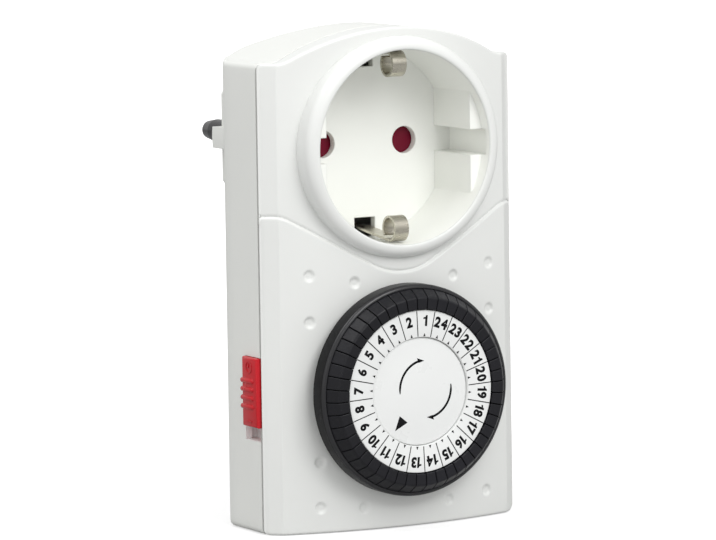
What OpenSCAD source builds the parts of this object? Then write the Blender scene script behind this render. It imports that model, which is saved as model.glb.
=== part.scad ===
// Plug in 24 hour timer switch: socket in front, plug behind, dial with push-in tabs.
// Millimetres. +Z up, front towards -Y. Origin: middle of the bottom face.

/* [Body] */
// Width across the flat sides
body_w = 58.4; // [57.4:0.2:62]
// Height of the two shoulders over the socket's axis
shoulder_rise = 17.6; // [16.8:0.2:19.2]
// Height of the crown over the socket's axis
crown_rise = 24.2; // [23.8:0.1:25.8]
// Width of the crown where it meets the shoulders
crown_w = 49.6; // [44:0.2:50]
// Radius of the hollow between crown and shoulder
hollow_r = 6; // [3:0.5:7]
// Radius of the bottom corners seen from the front
corner_r = 2.6; // [2.2:0.1:4]
// Radius of the shoulder corners seen from the front
shoulder_r = 2.1; // [2:0.1:2.4]
// Distance of the parting seam in front of the origin
seam_off = 4; // [4:0.1:4.4]
// Depth of the front shell, from the seam to the middle of its upper face
front_d = 6.9; // [6.7:0.1:7.6]
// Radius of the bowed face seen from above
bow_r = 90; // [84:2:160]
// Width of the bowed face between its edges
face_w = 52.4; // [50:0.2:53]
// Depth of the straight sides of the rear shell
side_d = 14; // [13.6:0.1:16]
// Depth of the sloped edge behind the straight sides
slope_d = 8; // [7:0.5:9]
// Inset of the sloped edge
slope_in = 4.6; // [3:0.2:4.8]
// Wall thickness of both shells
wall = 1.8; // [1.4:0.1:2]

/* [Panel] */
// Raise of the lower panel over the upper face
panel_step = 0.3; // [0.2:0.05:0.6]
// Distance of the panel's level sides below the socket's axis
panel_side_drop = 13.2; // [11.2:0.2:15.2]
// Distance of the panel's lowest point below the socket's axis
panel_nose_drop = 25.4; // [24.2:0.2:26.2]
// Radius of the panel's edge at its lowest point
panel_nose_r = 14; // [8:1:18]
// Slope of the panel's edge beside the lowest point
panel_slope = 29; // [26:1:34]
// Radius where the panel's edge turns level
panel_turn_r = 5; // [3:0.5:7]
// Diameter of the ball that sinks the dimples
dimple_d = 3.4; // [3:0.2:5]
// Depth of the dimples
dimple_depth = 0.4; // [0.2:0.05:0.6]

/* [Socket] */
// Height of the socket's axis over the dial's axis
socket_rise = 48.9; // [48.7:0.1:49.7]
// Diameter of the socket's well
well_d = 39.2; // [39:0.1:40]
// Depth of the well from its rim
well_depth = 17.5; // [17.4:0.1:18]
// Wall of the well and of its floor
well_wall = 1.8; // [1.4:0.1:1.8]
// Height of the collar over the middle of the face
collar_h = 2.3; // [1.7:0.1:3]
// Outer diameter of the collar
collar_d = 44.6; // [43.6:0.2:46]
// Radius of the collar's outer edge
collar_r = 1.4; // [0.6:0.1:1.6]
// Distance between the faces of the two guide blocks
guide_gap = 33.3; // [33:0.1:34.4]
// Depth at which the guide blocks start
guide_start = 3; // [2:0.2:5]
// Width of the notch in the guide blocks
notch_w = 5.2; // [5:0.1:5.6]
// Distance between the floors of the two notches
notch_span = 40.6; // [40:0.1:41]
// Distance between the two pins and between the two holes
pin_pitch = 19; // [19:0.1:19.2]
// Diameter of the holes in the well's floor
pin_hole_d = 5.56; // [5.2:0.02:5.8]
// Width of the earth clip's strip
clip_w = 3.2; // [2.8:0.1:4.4]
// Thickness of the earth clip's strip
clip_t = 0.5; // [0.4:0.05:0.6]
// Distance from the socket's axis to the middle of the earth clip's curl
curl_axis = 16.65; // [16.4:0.05:16.8]
// Outer radius of the earth clip's curl
curl_r = 2.65; // [2.2:0.05:2.7]
// Distance from the rim to the middle of the curl
curl_depth = 4.8; // [4.4:0.2:8]

/* [Plug] */
// Diameter of the plug boss
boss_d = 37.4; // [37:0.1:38]
// Length of the plug boss
boss_l = 17; // [16.6:0.1:17.4]
// Distance between the boss's two flat sides
boss_flat = 32.8; // [32:0.1:33]
// Width of the rib on each flat side
boss_rib = 4.4; // [4:0.1:4.8]
// Wall of the boss
boss_wall = 2; // [1.8:0.1:2.2]
// Diameter of the plug pins
pin_d = 4.8; // [4.74:0.02:4.86]
// Length of the plug pins
pin_l = 19; // [18.5:0.1:19.5]
// Length of the pins' tapered tips
pin_tip_l = 4; // [2:0.5:5]
// Diameter at the end of the tips
pin_tip_d = 3.6; // [3:0.1:4.2]

/* [Dial] */
// Height of the dial's axis
dial_z = 28.3; // [28:0.1:29]
// Outer diameter of the dial
dial_d = 43; // [42.6:0.1:44]
// Distance of the dial's back in front of the face
dial_gap = 0.7; // [0.5:0.1:1.2]
// Depth from the dial's back to the front of the number disc
dial_depth = 5.8; // [5.6:0.1:6.4]
// Diameter of the number disc
disc_d = 32.9; // [32:0.1:33]
// Diameter of the fixed centre cap
cap_d = 21.8; // [18:0.2:22]
// Hours on the dial
hours = 24; // [24]
// Turn of the dial at rest, clockwise from the hour line at the top
dial_turn = -2.5; // [-7:0.5:7]
// Travel of a tab when it is pushed in
tab_travel = 2.4; // [2:0.1:2.5]
// Gap between neighbouring tabs
tab_gap = 0.14; // [0.1:0.02:0.2]
// Direction of the pointer and of the follower, clockwise from the top
pointer_a = 216; // [212:1:220]
// Diameter of the opening behind the dial
opening_d = 38.4; // [38:0.1:39]

/* [Slider] */
// Height of the override slider's lower end
slider_z = 21.6; // [21.2:0.1:22.2]
// Length of the override slider
slider_l = 14.1; // [13.6:0.1:14.4]
// Depth of the override slider from the seam
slider_d = 6.3; // [5.8:0.1:6.8]
// How far the slider stands out of the side
slider_proud = 0.9; // [0.6:0.1:1.4]
// Travel of the slider
slider_travel = 1.9; // [1.6:0.1:2]
// Number of grip ribs on the slider
grip_ribs = 4; // [3:1:5]

/* [Works] */
// Radius of the post that carries the dial
post_r = 2.5; // [2.2:0.1:2.8]
// Radial clearance of the running fits
run_gap = 0.06; // [0.03:0.01:0.09]
// Clearance between pieces that pass each other
pass_gap = 0.3; // [0.25:0.05:0.35]
// Teeth of the dial gear
dial_teeth = 40; // [40]
// Teeth of the pinion that drives the dial gear
small_teeth = 10; // [10]
// Module of the dial gear and its pinion
dial_mod = 0.6; // [0.6]
// Teeth of the reduction wheel
wheel_teeth = 36; // [36]
// Teeth of the motor pinion
motor_teeth = 9; // [9]
// Module of the reduction wheel and the motor pinion
motor_mod = 0.5; // [0.5]
// Radius of the motor
motor_r = 14.5; // [13:0.1:14.8]
// Length of the motor can
motor_l = 11; // [10:0.1:12]
// Thickness of the mechanism plate
plate_t = 1.4; // [1.2:0.1:1.6]
// Radius of the follower's pivot pin
pivot_r = 0.8; // [0.7:0.05:0.9]
// Thickness of the current strips
strip_t = 0.8; // [0.6:0.05:0.9]
// Width of the current strips
strip_w = 4; // [3.4:0.1:4.2]

/* [Hidden] */
$fn = 64;
fine = 96;

socket_z = dial_z + socket_rise;
crown_h = socket_z + crown_rise;
shoulder_h = socket_z + shoulder_rise;
panel_side_z = socket_z - panel_side_drop;
panel_nose_z = socket_z - panel_nose_drop;

seam_y = -seam_off;
face_y = seam_y - front_d;
rear_y = seam_y + side_d;
back_y = rear_y + slope_d;
back_in = back_y - wall;
boss_end = back_y + boss_l;
half_w = body_w / 2;

rim_y = face_y - collar_h;
well_r = well_d / 2;
floor_y = rim_y + well_depth;
floor_back = floor_y + well_wall;
tube_r = well_r + well_wall;

dial_r = dial_d / 2;
panel_y = face_y - panel_step;
dial_back = panel_y - dial_gap;
disc_front = dial_back - dial_depth;
disc_t = 0.8;
disc_back = disc_front + disc_t;
disc_r = disc_d / 2;
cap_r = cap_d / 2;
cap_t = 0.8;
cap_front = disc_front + 0.45;
cap_back = cap_front + cap_t;
hour_a = 360 / hours;
tab_a = hour_a / 2;
tab_front = disc_front - 0.5;
tab_h = 2.8;
tab_back = tab_front + tab_h;
tab_in = disc_r + 0.2;
trough_t = 1;
trough_y = dial_back - trough_t;
rim_top = trough_y - tab_h;
rim_in = dial_r - 0.8;
tab_out = rim_in - 0.2;
leg_in = tab_in + 0.4;
leg_out = leg_in + 1.4;
leg_w = 1.2;
leg_back = dial_back + 1.3;
leg_pushed = leg_back + tab_travel;

plate_y = seam_y + 1.6;
plate_back = plate_y + plate_t;
dial_gear_y = [leg_pushed + 0.4, leg_pushed + 2.6];
wheel_y = [plate_y - 1.8, plate_y - 0.4];
drum_r = 11;
hub_r = 4.2;

dial_gear_r = dial_teeth * dial_mod / 2;
small_r = small_teeth * dial_mod / 2;
wheel_r = wheel_teeth * motor_mod / 2;
motor_gear_r = motor_teeth * motor_mod / 2;
motor_inset = 21.7;
motor_drop = 8.3;
motor_x = half_w - motor_inset;
motor_z = dial_z - motor_drop;
// The reduction gear's axis lies on both pitch circles' centre distances
reach_a = dial_gear_r + small_r;
reach_b = wheel_r + motor_gear_r;
motor_dist = norm([motor_x, motor_z - dial_z]);
motor_dir = atan2(motor_z - dial_z, motor_x);
gear_turn = acos((reach_a ^ 2 + motor_dist ^ 2 - reach_b ^ 2) / (2 * reach_a * motor_dist));
gear_dir = motor_dir + gear_turn;
gear_x = reach_a * cos(gear_dir);
gear_z = dial_z + reach_a * sin(gear_dir);
motor_to_gear = atan2(gear_z - motor_z, gear_x - motor_x);
axle_r = 1;
shaft_r = 0.75;

screw_x = half_w - 6.3;
screw_low = dial_z - 20.3;
screw_high = shoulder_h - 6.2;
SCREWS = [[-screw_x, screw_low], [screw_x, screw_low], [-screw_x, screw_high], [screw_x, screw_high]];
screw_r = 1.2;
screw_head_r = 2.5;
screw_seat = rear_y + 0.4;
screw_tip = seam_y - 2;
post_out = 3.9;

// Sideways places of the dimples, then their heights over the dial's axis
DIMPLES = [for (p = [[-20.3, 23.9], [-10.8, 22.1], [-20.3, 14.5], [12.2, 22.1], [21.6, 23.9], [21.6, 14.5],
    [-18.6, -13.9], [-18.6, -23.1], [-9.4, -23.7], [10.4, -23.7], [20.4, -22.9]]) p + [0, dial_z]];

// Follower: pivot, nose over the tab legs, and the direction between them
leg_mid = (leg_in + leg_out) / 2;
nose = [leg_mid * sin(pointer_a), dial_z + leg_mid * cos(pointer_a)];
pivot_inset = 8.7;
pivot_rise = 3.7;
pivot = [pivot_inset - half_w, dial_z + pivot_rise];
arm_l = norm(nose - pivot);
arm_u = (nose - pivot) / arm_l;
arm_dir = atan2(arm_u[1], arm_u[0]);
arm_w = 3;
arm_t = 1.5;
arm_y = plate_y - 1.1 - arm_t;
pivot_y = plate_y - 1.8;
tail_l = 4.5;
pusher_at = 12;
pusher_back = plate_back + 5.4;

blade_off = 5.5;
blade_x = pivot[0] + blade_off;
blade_t = 0.4;
blade_y = pusher_back + 0.8;
blade_low = motor_z + 0.5;
blade_high = blade_low + 29.5;
contact_z = blade_low + 6.5;
contact_r = 1.3;
contact_gap = 0.6;
out_y = blade_y + 3.8;
in_y = out_y + 2.4;
out_z = blade_high - 3;
in_z = out_z - 5;

sleeve_r = pin_d / 2 + 0.05;
sleeve_out = sleeve_r + 0.65;
shutter_y = floor_back + pass_gap;
shutter_t = 1.5;
sleeve_y = shutter_y + shutter_t + pass_gap;
sleeve_end = sleeve_y + 15.2;
base_y = sleeve_end + strip_t;
base_t = 2;
base_back = base_y + base_t;
shank_end = base_back + strip_t;
shank_r = 1.8;
pin_x = pin_pitch / 2;
bus_x = pin_x - 1;
out_low = socket_z - 9.6;
in_low = out_low - 1.6;
earth_y = back_in - 1.6;
arm_rho = curl_axis + curl_r;
arm_in = arm_rho - 1.6;
arm_bend = floor_y + 0.6;
hollow_in = boss_d / 2 - boss_wall;

pocket_floor = half_w - 3;
slider_inner = pocket_floor + 0.2;
slider_top = slider_z + slider_l;
pocket_low = slider_z - slider_travel - 0.9;

// ---- Helpers ----

// Extrudes an outline in X and Z from y0 to y1
module along_y(y0, y1) {
    translate([0, y1, 0]) rotate([90, 0, 0]) linear_extrude(y1 - y0) children();
}

// Extrudes an outline in Y and Z from x0 to x1
module along_x(x0, x1) {
    translate([x0, 0, 0]) rotate([90, 0, 90]) linear_extrude(x1 - x0) children();
}

// Round bar along Y
module rod_y(x, z, r, y0, y1) {
    translate([x, y0, z]) rotate([-90, 0, 0]) cylinder(r = r, h = y1 - y0);
}

// Turns a profile of radius and Y about an axis along Y
module lathe_y(x, z) {
    translate([x, 0, z]) rotate([-90, 0, 0]) rotate_extrude($fn = fine) children();
}

// Box between two corners
module box(a, b) {
    translate(a) cube(b - a);
}

// Tube about an axis along Y
module tube_y(x, z, r_in, r_out, y0, y1) {
    difference() {
        rod_y(x, z, r_out, y0, y1);
        rod_y(x, z, r_in, y0 - 1, y1 + 1);
    }
}

// Shape and its mirror image above and below the socket's axis
module both_ends() {
    children();
    translate([0, 0, 2 * socket_z]) mirror([0, 0, 1]) children();
}

function involute(a) = tan(a) * 180 / PI - a;

// Spur gear outline with a tooth centred at angle 0
module gear_outline(teeth, mod, bore) {
    rp = teeth * mod / 2;
    rb = rp * cos(20);
    ra = rp + mod * 0.92;
    rf = rp - mod * 1.2;
    r0 = max(rb, rf);
    half = 86 / teeth;
    steps = 3;
    flank = [for (i = [0:steps]) let (r = r0 + (ra - r0) * i / steps)
        [r, half + involute(20) - involute(acos(min(1, rb / r)))]];
    difference() {
        polygon([for (t = [0:teeth - 1]) let (a = 360 * t / teeth) each concat(
            [[rf * cos(a - flank[0][1] - 0.6), rf * sin(a - flank[0][1] - 0.6)]],
            [for (i = [0:steps]) [flank[i][0] * cos(a - flank[i][1]), flank[i][0] * sin(a - flank[i][1])]],
            [for (i = [steps:-1:0]) [flank[i][0] * cos(a + flank[i][1]), flank[i][0] * sin(a + flank[i][1])]],
            [[rf * cos(a + flank[0][1] + 0.6), rf * sin(a + flank[0][1] + 0.6)]])]);
        circle(r = bore);
    }
}

// Gear about an axis along Y, with a tooth at angle a from +X towards +Z
module gear_y(x, z, teeth, mod, bore, ys, a) {
    translate([x, 0, z]) rotate([0, -a, 0]) along_y(ys[0], ys[1]) gear_outline(teeth, mod, bore);
}

// ---- Body outlines ----

crown_a = crown_w / 2;

// Front view of the body, drawn in by i
module outline(i) {
    h = crown_h - shoulder_h;
    big_r = (crown_a ^ 2 + h ^ 2) / (2 * h);
    centre_z = crown_h - big_r;
    turn_x = sqrt(crown_a ^ 2 + 2 * hollow_r * h);
    turn_z = shoulder_h + hollow_r;
    w = half_w - i;
    top = shoulder_h - i;
    low_r = corner_r - i;
    high_r = shoulder_r - i;
    for (s = [-1, 1]) {
        translate([s * (w - low_r), i + low_r]) circle(r = low_r);
        translate([s * (w - high_r), top - high_r]) circle(r = high_r);
    }
    translate([-w, i + low_r]) square([2 * w, top - high_r - i - low_r]);
    translate([low_r - w, i]) square([2 * (w - low_r), top - i - high_r]);
    translate([high_r - w, top - high_r - 1]) square([2 * (w - high_r), high_r + 1]);
    bend = asin(turn_x / (big_r + hollow_r));
    hollow = [for (n = [0:5]) let (a = bend * n / 5)
        [turn_x - (hollow_r + i) * sin(a), turn_z - (hollow_r + i) * cos(a)]];
    crown = [for (n = [23:-1:-23]) let (a = bend * n / 24)
        [(big_r - i) * sin(a), centre_z + (big_r - i) * cos(a)]];
    polygon(concat([[-turn_x, top - 1], [turn_x, top - 1]], hollow, crown,
        [for (n = [5:-1:0]) [-hollow[n][0], hollow[n][1]]]));
}

edge_y = face_y + bow_r - sqrt(bow_r ^ 2 - (face_w / 2) ^ 2);
edge = [face_w / 2, edge_y];
side = [half_w, seam_y];
edge_n = [side[1] - edge[1], edge[0] - side[0]] / norm(side - edge);

// Space between the two bevels seen from above, drawn in by i
module bevel_region(i) {
    a = side - edge_n * i - (edge - side) * 2;
    b = side - edge_n * i + (edge - side) * 3;
    polygon([[a[0], 20], a, b, [-b[0], b[1]], [-a[0], a[1]], [-a[0], 20]]);
}

// Front shell seen from above, drawn in by i: bowed face and two bevels
module front_plan(i) {
    intersection() {
        translate([0, face_y + bow_r]) circle(r = bow_r - i, $fn = 360);
        bevel_region(i);
    }
}

// Solid of the front shell, drawn in by i
module front_block(i, back) {
    intersection() {
        along_y(face_y - 1, back) outline(i);
        translate([0, 0, -1]) linear_extrude(crown_h + 2) front_plan(i);
    }
}

// Sloped profile of the rear shell between two sides lo and hi, drawn in by i
function slope_profile(lo, hi, i) = let (
    len = norm([slope_in, slope_d]),
    nx = slope_d / len,
    ny = slope_in / len,
    turn = rear_y - i * (1 - nx) / ny,
    inset = (i + ny * (slope_d - i)) / nx)
    [[lo + i, seam_y - 2], [lo + i, turn], [lo + inset, back_y - i],
     [hi - inset, back_y - i], [hi - i, turn], [hi - i, seam_y - 2]];

// Solid of the rear shell, drawn in by i, from the given Y
module rear_block(i, from) {
    intersection() {
        along_y(from, back_y - i) outline(i);
        translate([0, 0, -1]) linear_extrude(crown_h + 2) polygon(slope_profile(-half_w, half_w, i));
        along_x(-half_w - 1, half_w + 1)
            polygon([for (p = slope_profile(0, crown_h, i)) [p[1], p[0]]]);
    }
}

// Inside of the front shell
module front_void() {
    w = half_w - wall;
    low = wall;
    top = shoulder_h - wall;
    r = corner_r;
    intersection() {
        along_y(face_y - 1, seam_y + 1) {
            for (s = [-1, 1]) for (z = [low + r, top - r]) translate([s * (w - r), z]) circle(r = r);
            translate([-w, low + r]) square([2 * w, top - low - 2 * r]);
            translate([r - w, low]) square([2 * (w - r), top - low]);
        }
        translate([0, 0, -1]) linear_extrude(crown_h + 2) front_plan(wall);
    }
    box([-crown_a / 2, face_y + wall + 1.2, top - 1], [crown_a / 2, seam_y + 1, crown_h - wall - 1.6]);
}

// Raised lower panel, reaching back into the front shell
module panel_block() {
    intersection() {
        along_y(panel_y - 1, seam_y - 0.5) intersection() {
            panel_region();
            translate([-half_w, 0]) square([body_w, crown_h]);
            union() {
                for (s = [-1, 1]) translate([s * (half_w - corner_r), corner_r]) circle(r = corner_r);
                translate([corner_r - half_w, 0]) square([body_w - 2 * corner_r, crown_h]);
                translate([-half_w, corner_r]) square([body_w, crown_h]);
            }
        }
        translate([0, 0, -1]) linear_extrude(crown_h + 2) intersection() {
            translate([0, face_y + bow_r]) circle(r = bow_r + panel_step, $fn = 360);
            bevel_region(0);
        }
    }
}

// Region of the lower panel seen from the front
module panel_region() {
    c = cos(panel_slope);
    s = sin(panel_slope);
    start = [panel_nose_r * s, panel_nose_z + panel_nose_r * (1 - c)];
    run = (panel_side_z - panel_turn_r * (1 - c) - start[1]) / s;
    turn_x = start[0] + run * c + panel_turn_r * s;
    right = concat(
        [for (i = [0:6]) let (a = panel_slope * i / 6)
            [panel_nose_r * sin(a), panel_nose_z + panel_nose_r * (1 - cos(a))]],
        [for (i = [0:4]) let (a = panel_slope * (1 - i / 4))
            [turn_x - panel_turn_r * sin(a), panel_side_z - panel_turn_r * (1 - cos(a))]],
        [[half_w + 5, panel_side_z]]);
    polygon(concat([[half_w + 5, -9], [-half_w - 5, -9]],
        [for (i = [len(right) - 1:-1:1]) [-right[i][0], right[i][1]]], right));
}

// ---- Shells ----

module collar() {
    r = collar_d / 2;
    lathe_y(0, socket_z) polygon(concat(
        [[well_r - 0.5, edge_y + 1], [well_r - 0.5, rim_y + 0.6], [well_r + 0.3, rim_y],
            [r - collar_r, rim_y]],
        [for (i = [1:6]) let (a = 15 * i) [r - collar_r + collar_r * sin(a),
            rim_y + collar_r * (1 - cos(a))]],
        [[r, edge_y + 1]]));
}

// Space of the socket's well, with the guide blocks left standing
module well_space() {
    intersection() {
        rod_y(0, socket_z, well_r, rim_y - 1, floor_y, $fn = fine);
        union() {
            box([-guide_gap / 2, rim_y - 1, socket_z - well_r], [guide_gap / 2, floor_y, socket_z + well_r]);
            box([-well_r, rim_y - 1, socket_z - well_r], [well_r, rim_y + guide_start, socket_z + well_r]);
        }
    }
    box([-notch_span / 2, rim_y + 1.6, socket_z - notch_w / 2],
        [notch_span / 2, floor_y, socket_z + notch_w / 2]);
    lathe_y(0, socket_z) polygon([[0, rim_y - 1], [well_r + 1.3, rim_y - 1], [well_r - 0.1, rim_y + 0.5],
        [0, rim_y + 0.5]]);
}

module front_housing() {
    color("whitesmoke") difference() {
        union() {
            difference() {
                union() {
                    front_block(0, seam_y);
                    panel_block();
                }
                front_void();
            }
            collar();
            rod_y(0, socket_z, tube_r, rim_y + 1.5, floor_back, $fn = fine);
            for (p = SCREWS) rod_y(p[0], p[1], 2.8, edge_y + 0.2, seam_y);
            rod_y(0, socket_z, 1.5, floor_back - 0.5, sleeve_y + 0.7);
            spring_seat();
        }
        well_space();
        for (s = [-1, 1]) rod_y(s * pin_x, socket_z, pin_hole_d / 2, floor_y - 1, floor_back + 0.1);
        both_ends() box([-clip_w / 2 - 0.8, floor_y - 0.1, socket_z - well_r + 0.1],
            [clip_w / 2 + 0.8, floor_back + 0.1, socket_z - arm_in + 2.3]);
        rod_y(0, dial_z, opening_d / 2, panel_y - 1, seam_y + 1, $fn = fine);
        for (p = SCREWS) rod_y(p[0], p[1], screw_r + 0.05, screw_tip - 0.4, seam_y + 1);
        for (p = DIMPLES) translate([p[0],
            face_y + bow_r - sqrt((bow_r + panel_step) ^ 2 - p[0] ^ 2) + dimple_depth - dimple_d / 2, p[1]])
            sphere(d = dimple_d);
    }
}

spring_x = 4;
spring_r = 0.75;
wire_r = 0.16;
shutter_half = 3.3;
spring_top = socket_z - shutter_half - pass_gap;
spring_low = spring_top - 7.6;
spring_turns = 7;

// Shelf behind the well's floor that holds the shutter's spring
module spring_seat() {
    box([spring_x - 1.5, floor_back - 0.5, spring_low - 1.3],
        [spring_x + 1.5, floor_back + 2.2, spring_low - 0.3]);
}

module boss_outline(inset) {
    intersection() {
        circle(r = boss_d / 2 - inset, $fn = fine);
        square([boss_flat - 2 * inset, boss_d], center = true);
    }
}

module slider_pocket_block() {
    intersection() {
        box([-half_w, seam_y, pocket_low - 1.1],
            [-pocket_floor + 1, seam_y + slider_d + 1.9, slider_top + 1.3]);
        rear_block(0, seam_y);
    }
}

module rear_housing() {
    color("white") difference() {
        union() {
            difference() {
                rear_block(0, seam_y);
                rear_block(wall, seam_y - 1);
            }
            translate([0, 0, socket_z]) along_y(back_in, boss_end) {
                boss_outline(0);
                intersection() {
                    circle(d = boss_d, $fn = fine);
                    square([boss_d, boss_rib], center = true);
                }
            }
            slider_pocket_block();
            intersection() {
                for (p = SCREWS) rod_y(p[0], p[1], post_out, seam_y, back_y);
                rear_block(0.5, seam_y);
            }
            for (p = STANDS) rod_y(p[0], p[1], 2, plate_back, back_in + 0.5);
        }
        translate([0, 0, socket_z]) along_y(back_in - 1, boss_end - boss_wall) boss_outline(boss_wall);
        for (s = [-1, 1]) rod_y(s * pin_x, socket_z, pin_d / 2 + 0.02, boss_end - boss_wall - 1,
            boss_end + 1);
        both_ends() box([-clip_w / 2 - 0.6, back_in - 0.1, socket_z - boss_d / 2 - 1],
            [clip_w / 2 + 0.6, boss_end - boss_wall + 0.2, socket_z - hollow_in + 1]);
        for (p = SCREWS) {
            rod_y(p[0], p[1], screw_r + 0.15, seam_y - 1, back_y);
            rod_y(p[0], p[1], screw_head_r + 0.3, screw_seat, back_y + 1);
        }
        // Pocket, undercut and window of the slider
        box([-half_w - 1, seam_y - 1, pocket_low],
            [-pocket_floor, seam_y + slider_d + 0.1, slider_top + 0.1]);
        box([-pocket_floor - 1.6, seam_y - 1, pocket_low],
            [-pocket_floor, seam_y + slider_d + 0.9, slider_top + 0.1]);
        box([-pocket_floor - 0.5, finger_y - 0.3, slider_top - 1.3 - slider_travel],
            [-pocket_floor + 1.1, finger_y + 0.9, slider_top + 0.3]);
    }
}

STANDS = [[-21.5, dial_z + 19.7], [21.5, dial_z + 19.7], [-13, 7]];
finger_y = arm_y + arm_t + pass_gap;

// ---- Dial ----

module dial_carrier() {
    bore = post_r + run_gap;
    color([0.1, 0.1, 0.11]) difference() {
        union() {
            lathe_y(0, dial_z) polygon([[bore, disc_back + 0.8], [cap_r + 0.25, disc_back + 0.8],
                [cap_r + 0.25, disc_back], [disc_r, disc_back], [disc_r, trough_y],
                [rim_in, trough_y], [rim_in, rim_top], [dial_r - 0.45, rim_top], [dial_r, rim_top + 0.45],
                [dial_r, dial_back], [drum_r, dial_back], [drum_r, dial_gear_y[1]],
                [drum_r - 1.2, dial_gear_y[1]], [drum_r - 1.2, disc_back + 2], [hub_r, disc_back + 2],
                [hub_r, plate_y - pass_gap], [bore, plate_y - pass_gap]]);
            gear_y(0, dial_z, dial_teeth, dial_mod, drum_r - 0.6, dial_gear_y, gear_dir);
        }
        for (k = [0:2 * hours - 1]) translate([0, 0, dial_z]) rotate([0, dial_turn + (k + 0.5) * tab_a, 0])
            box([-leg_w / 2 - 0.15, trough_y - 0.1, leg_in - 0.15],
                [leg_w / 2 + 0.15, dial_back + 0.1, leg_out + 0.15]);
    }
}

// One push-in tab, at angle a clockwise from the top
module tab(a) {
    half = tab_a / 2;
    g = tab_gap / 2;
    translate([0, 0, dial_z]) rotate([0, a, 0]) {
        intersection() {
            along_y(tab_front - 1, tab_back + 1) polygon([
                [g - tab_in * tan(half), tab_in], [tab_in * tan(half) - g, tab_in],
                [tab_out * tan(half) - g, tab_out], [g - tab_out * tan(half), tab_out]]);
            along_x(-3, 3) polygon([[tab_front, tab_in], [tab_front, tab_in + 2.3],
                [tab_front + 0.3, tab_in + 2.6],
                [tab_back - 0.6, tab_out - 0.15], [tab_back - 0.2, tab_out], [tab_back, tab_out],
                    [tab_back, tab_in]]);
        }
        box([-leg_w / 2, tab_back - 0.1, leg_in], [leg_w / 2, leg_back, leg_out]);
    }
}

// The two tabs of one hour
module segment_pair(k) {
    color([0.13, 0.13, 0.14]) for (n = [0, 1]) tab(dial_turn + (2 * k + n + 0.5) * tab_a);
}

module number_disc() {
    color("white") tube_y(0, dial_z, cap_r + 0.25, disc_r, disc_front, disc_back);
}

module centre_cap() {
    color("white") lathe_y(0, dial_z) polygon([[0, cap_front], [cap_r - 0.3, cap_front],
        [cap_r, cap_front + 0.3],
        [cap_r, cap_back], [1.25, cap_back], [1.25, cap_back + 4.5], [0, cap_back + 4.5]]);
}

// ---- Slider ----

module override_slider() {
    out = half_w + slider_proud;
    y0 = seam_y + 0.1;
    y1 = seam_y + slider_d;
    rib_top = slider_top - 4.35;
    rib_pitch = 7 / grip_ribs;
    color([0.84, 0.18, 0.22]) {
        along_y(y0, y1) polygon([[-out, slider_z + 0.4], [-out + 0.4, slider_z], [-slider_inner, slider_z],
            [-slider_inner, slider_top], [-out + 0.4, slider_top], [-out, slider_top - 0.4]]);
        box([-slider_inner - 1.2, y1 - 0.5, slider_z], [-slider_inner, y1 + 0.7, slider_top]);
        for (k = [0:grip_ribs - 1]) box([-out - 0.4, y0 + 0.6, rib_top - k * rib_pitch - 0.8],
            [-out + 0.1, y1 - 0.6, rib_top - k * rib_pitch]);
        box([-slider_inner - 0.5, finger_y, slider_top - 1],
            [5 - slider_inner, finger_y + 0.6, slider_top]);
    }
}

// ---- Socket side ----

module earth_strip() {
    along_x(-clip_w / 2, clip_w / 2) translate([0, socket_z]) {
        front = rim_y + curl_depth;
        polygon([[front, -arm_rho], [arm_bend, -arm_in], [earth_y + clip_t, -arm_in],
            [earth_y + clip_t, clip_t - arm_in], [arm_bend, clip_t - arm_in], [front, clip_t - arm_rho]]);
        translate([front, -curl_axis]) difference() {
            circle(r = curl_r);
            circle(r = curl_r - clip_t);
            polygon([[0, 0], [0, -2 * curl_r], [2 * curl_r, -2 * curl_r], [2 * curl_r, -1.4 * curl_r]]);
        }
        translate([earth_y, -arm_in]) square([clip_t, arm_in + 0.1]);
    }
}

module socket_earth_clip() {
    color([0.66, 0.63, 0.54]) both_ends() earth_strip();
}

module plug_earth_clip() {
    rho = hollow_in + 0.8;
    y0 = earth_y + clip_t;
    y1 = boss_end - boss_wall;
    color([0.7, 0.67, 0.58]) both_ends() along_x(-clip_w / 2, clip_w / 2) translate([0, socket_z]) {
        translate([y0, -rho]) square([y1 - y0, clip_t]);
        translate([y1 - clip_t, -rho]) square([clip_t, 1.8]);
        translate([y0, -rho]) square([clip_t, rho + 0.1]);
    }
}

module safety_shutter() {
    color([0.42, 0.09, 0.18]) difference() {
        intersection() {
            box([-14, shutter_y, socket_z - shutter_half],
                [14, shutter_y + shutter_t, socket_z + shutter_half]);
            rod_y(0, socket_z, 13.2, shutter_y, shutter_y + shutter_t);
        }
        rod_y(0, socket_z, 1.5 + run_gap, shutter_y - 1, shutter_y + shutter_t + 1);
    }
}

module shutter_clip() {
    color("silver") tube_y(0, socket_z, 1.52, 2.8, sleeve_y, sleeve_y + 0.5);
}

rings = 8 * spring_turns;
sides = 6;

// Centre line of the shutter's spring
function spring_line(i) = let (a = 360 * i / 8, h = spring_top - spring_low - 2 * wire_r)
    [spring_r * cos(a), spring_r * sin(a), wire_r + h * i / rings];

// Least gap between turns, measured between points one turn or more apart
spring_gap = min([for (i = [0:rings - 7]) for (j = [i + 7:rings])
    norm(spring_line(i) - spring_line(j))]) - 2 * wire_r;

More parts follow.
